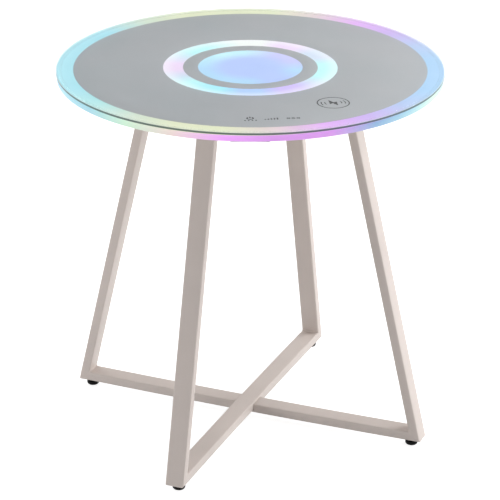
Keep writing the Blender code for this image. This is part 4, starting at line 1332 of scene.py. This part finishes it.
def control_box():
    """The moulded box under the tray with its two ears, open inside for its board, and its inlet."""
    low, high = heights("control_box")
    place = Matrix.Rotation(CONTROL_AZIMUTH, 4, "Z") @ Matrix.Translation((CONTROL_REACH, 0, 0))
    levels = (*eased(low, high, CONTROL_LOWER_EDGE)[:3], (0, high))
    bm = block(CONTROL_WIDTH, CONTROL_LENGTH, CONTROL_CORNER, levels)
    box = finished("control_housing", bm, [BLACK_ABS])
    ears = block(CONTROL_WIDTH+2*CONTROL_TAB_REACH, CONTROL_TAB_WIDTH, CONTROL_CORNER,
                 ((0, high-CONTROL_TAB_THICKNESS), (0, high)))
    carve(box, [tool(ears)], "UNION")
    inside = block(CONTROL_WIDTH-2*CONTROL_WALL, CONTROL_LENGTH-2*CONTROL_WALL, CONTROL_CORNER-CONTROL_WALL,
                   ((0, low+CONTROL_WALL), (0, high+CUT_MARGIN)))
    tools = [tool(inside)]
    for side in (-1, 1):
        tools.append(round_rod(CONTROL_HOLE_RADIUS, low, high+CUT_MARGIN, (side*CONTROL_SCREW_OFFSET, 0)))
    hole = round_rod(INLET_HOLE_RADIUS, -CONTROL_WALL-CUT_MARGIN, CUT_MARGIN)
    inlet_height = heights("control_board")[1]+SKIN+INLET_RADIUS
    mouth = Matrix.Translation((0, -CONTROL_LENGTH/2, inlet_height)) @ Matrix.Rotation(math.pi/2, 4, "X")
    hole.data.transform(mouth)
    carve(box, tools+[hole])
    box.data.transform(place)
    settle(box, "black_plastic", "control_box")
    barrel = [(0, -0.011), (INLET_RADIUS, -0.011), (INLET_RADIUS, -0.0003), (0.0039, 0), (0.0031, 0),
              (0.0028, -0.0003), (0.0028, -0.009), (0.001, -0.009), (0.001, -0.0014), (0.0006, -0.001),
              (0, -0.001)]
    inlet = finished("power_inlet", turned(barrel, SMALL_FACETS), [BLACK_ABS])
    inlet.data.transform(place @ mouth)
    settle(inlet, "black_plastic", "dc_inlet")


def light_diodes():
    """Rows of square diodes on two of the strips and on the round board, by radius and number."""
    bm = block(DIODE_LENGTH, DIODE_WIDTH, DIODE_CORNER, eased(0.0, DIODE_HEIGHT, DIODE_EDGE))
    diode = finished("diode_pattern", bm, [PHOSPHOR])
    outer_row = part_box("led_strip_outer")[1].x-STRIP_HALF_WIDTH
    for name, cad, radius, count in (("outer_strip_diodes", "led_strip_outer", outer_row, 108),
                                     ("inner_strip_diodes", "led_strip_inner", 0.11935, 45),
                                     ("centre_board_diodes", "led_board_centre", 0.040, 24)):
        piece = grow(lines_host(name), ROW, {
            "Radius": radius, "Height": heights(cad)[1]-DIODE_SINK, "Count": count, "Pattern": diode,
            "Finish": PHOSPHOR})
        settle(piece, "strip_white")
    bpy.data.objects.remove(diode, do_unlink=True)


def charging_coil():
    """The flat coil, wound from one wire."""
    low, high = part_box("charging_coil")
    wire = (high.z-low.z)/2
    piece = grow(lines_host("charging_winding"), WINDING, {
        "Eye Radius": COIL_EYE_RADIUS+wire, "Outer Radius": COIL_OUTER_RADIUS-wire, "Turns": COIL_TURNS,
        "Wire Radius": wire, "Place": tuple((low+high)/2), "Finish": COPPER}, ROUND_SMOOTH_ANGLE)
    settle(piece, "copper_coil", "charging_coil")


def dress_inner_nodes():
    """Finishes for the CAD solids that stay as they are, inside the light box."""
    finishes = {SOLDER_MASK: ("touch_board", "charging_board", "control_board"),
                STRIP_FILM: ("led_strip_rim", "led_strip_outer", "led_strip_inner", "led_board_centre"),
                FERRITE: ("charging_ferrite",),
                ZINC: ("tray_screw_1", "tray_screw_2", "tray_screw_3", "tray_screw_4")}
    for finish, names in finishes.items():
        for name in names:
            mesh = bpy.data.objects[name].data
            mesh.materials.clear()
            mesh.materials.append(finish)


for build in (glass_disc, flat_rings, opal_disc, glowing_rim, light_tray, carrier_board, touch_marks,
              charging_mark, legs, bars, plates, welds, screws, crossing, pads, studs, control_box,
              light_diodes, charging_coil, dress_inner_nodes):
    build()


# Camera, fitted to the picture

CAMERA_PLACE = (1.3600, -3.3327, 1.8045)
CAMERA_TURN = 0.38715
CAMERA_TILT = 0.39851
CAMERA_ROLL = 0.0057
CAMERA_LENS = 176.58
CAMERA_SENSOR = 36.0
CAMERA_CLIP = (0.05, 60.0)


def set_camera():
    """The picture's own viewing angle and distance."""
    data = bpy.data.cameras.new("camera")
    data.lens = CAMERA_LENS
    data.sensor_width = CAMERA_SENSOR
    data.clip_start, data.clip_end = CAMERA_CLIP
    camera = added("camera", data)
    camera.matrix_world = (Matrix.Translation(CAMERA_PLACE) @ Matrix.Rotation(CAMERA_TURN, 4, "Z")
                           @ Matrix.Rotation(math.pi/2-CAMERA_TILT, 4, "X")
                           @ Matrix.Rotation(CAMERA_ROLL, 4, "Z"))
    bpy.context.scene.camera = camera


# Floor, world and lamps

WHITE = (1.0, 1.0, 1.0, 1.0)
FLOOR_RADIUS = 9.0
FLOOR_FACETS = 96
FLOOR_SHINE = 0.84
ROOM_LEVEL = 0.315
CEILING_LEVEL = 0.33
WALL_LEVEL = 0.72
WALL_AZIMUTH = math.radians(22.2)

# Between which shares of the way the wall fades in towards its azimuth, and the ceiling upwards
WALL_FADE = (-0.02, 0.08)
CEILING_FADE = (0.10, 0.30)

# Each soft box's place, its size and its watts
AIM = (0.0, 0.0, 0.35)
LAMPS = {
    "key_soft_box": ((2.6, 2.6, 2.2), (1.8, 1.8), 91.0),
    "side_soft_box": ((4.12, -0.62, 0.8), (2.9, 1.3), 68.0),
    "fill_soft_box": ((-2.0, -1.7, 0.4), (0.9, 0.9), 22.5),
    "rim_soft_box": ((-3.0, 2.2, 2.2), (1.8, 1.8), 54.0),
    "top_soft_box": ((0.0, 0.3, 2.6), (1.8, 1.8), 15.0)}


def studio_floor():
    """White paper floor that keeps a faint shadow.

    It shines where the camera, a mirror or glass looks, and not in the light that falls on things.
    """
    paper = Finish("white_paper", {
        "Base Color": linear("C0C0C0"), "Roughness": 0.9, "Specular IOR Level": 0.0, "Emission Color": WHITE})
    path = shade(paper.tree, "LightPath").outputs
    mirrored = reckon(paper.tree, "MAXIMUM", path["Is Glossy Ray"], path["Is Transmission Ray"])
    seen = reckon(paper.tree, "MAXIMUM", path["Is Camera Ray"], mirrored)
    paper.feed("Emission Strength", reckon(paper.tree, "MULTIPLY", seen, FLOOR_SHINE))
    bm = bmesh.new()
    bmesh.ops.create_circle(bm, cap_ends=True, radius=FLOOR_RADIUS, segments=FLOOR_FACETS)
    finished("studio_floor", bm, [paper.material])


def studio_world():
    """A plain white room, dimmer for the light it casts than for the eye.

    Its ceiling is darker in mirrors, so that the glass top doesn't veil the print and the glow. A
    paler wall stands on the right, which lifts the print softly on that side.
    """
    world = bpy.data.worlds.new("white_room")
    world.use_nodes = True
    tree = world.node_tree
    background = tree.nodes["Background"]
    background.inputs["Color"].default_value = WHITE
    direction = shade(tree, "TexCoord").outputs["Generated"]
    up = shade(tree, "SeparateXYZ", {0: direction}).outputs["Z"]
    towards = (*polar(1.0, WALL_AZIMUTH), 0.0)
    right = shade(tree, "VectorMath", {"operation": "DOT_PRODUCT", 0: direction, 1: towards}).outputs["Value"]
    ceiling = ranged(tree, right, CEILING_LEVEL, WALL_LEVEL, *WALL_FADE, "SMOOTHSTEP")
    mirrored = ranged(tree, up, 1.0, ceiling, *CEILING_FADE)
    path = shade(tree, "LightPath").outputs
    straight = reckon(tree, "MAXIMUM", path["Is Camera Ray"], path["Is Transmission Ray"])
    lit = shade(tree, "Mix", {0: path["Is Glossy Ray"], 2: ROOM_LEVEL, 3: mirrored})
    level = shade(tree, "Mix", {0: straight, 2: lit, 3: 1.0})
    tree.links.new(level.outputs[0], background.inputs["Strength"])
    bpy.context.scene.world = world


def soft_lamp(name, place, size, watts):
    """A rectangular soft box aimed at the table. Its own shape doesn't show in the glass."""
    data = bpy.data.lights.new(name, "AREA")
    data.shape = "RECTANGLE"
    data.size, data.size_y = size
    data.energy = watts
    lamp = added(name, data)
    lamp.location = place
    lamp.visible_glossy = False
    lamp.rotation_euler = (Vector(AIM)-Vector(place)).to_track_quat("-Z", "Y").to_euler()


set_camera()
studio_floor()
studio_world()
for lamp_name, settings in LAMPS.items():
    soft_lamp(lamp_name, *settings)
bpy.context.scene.view_settings.view_transform = "Standard"
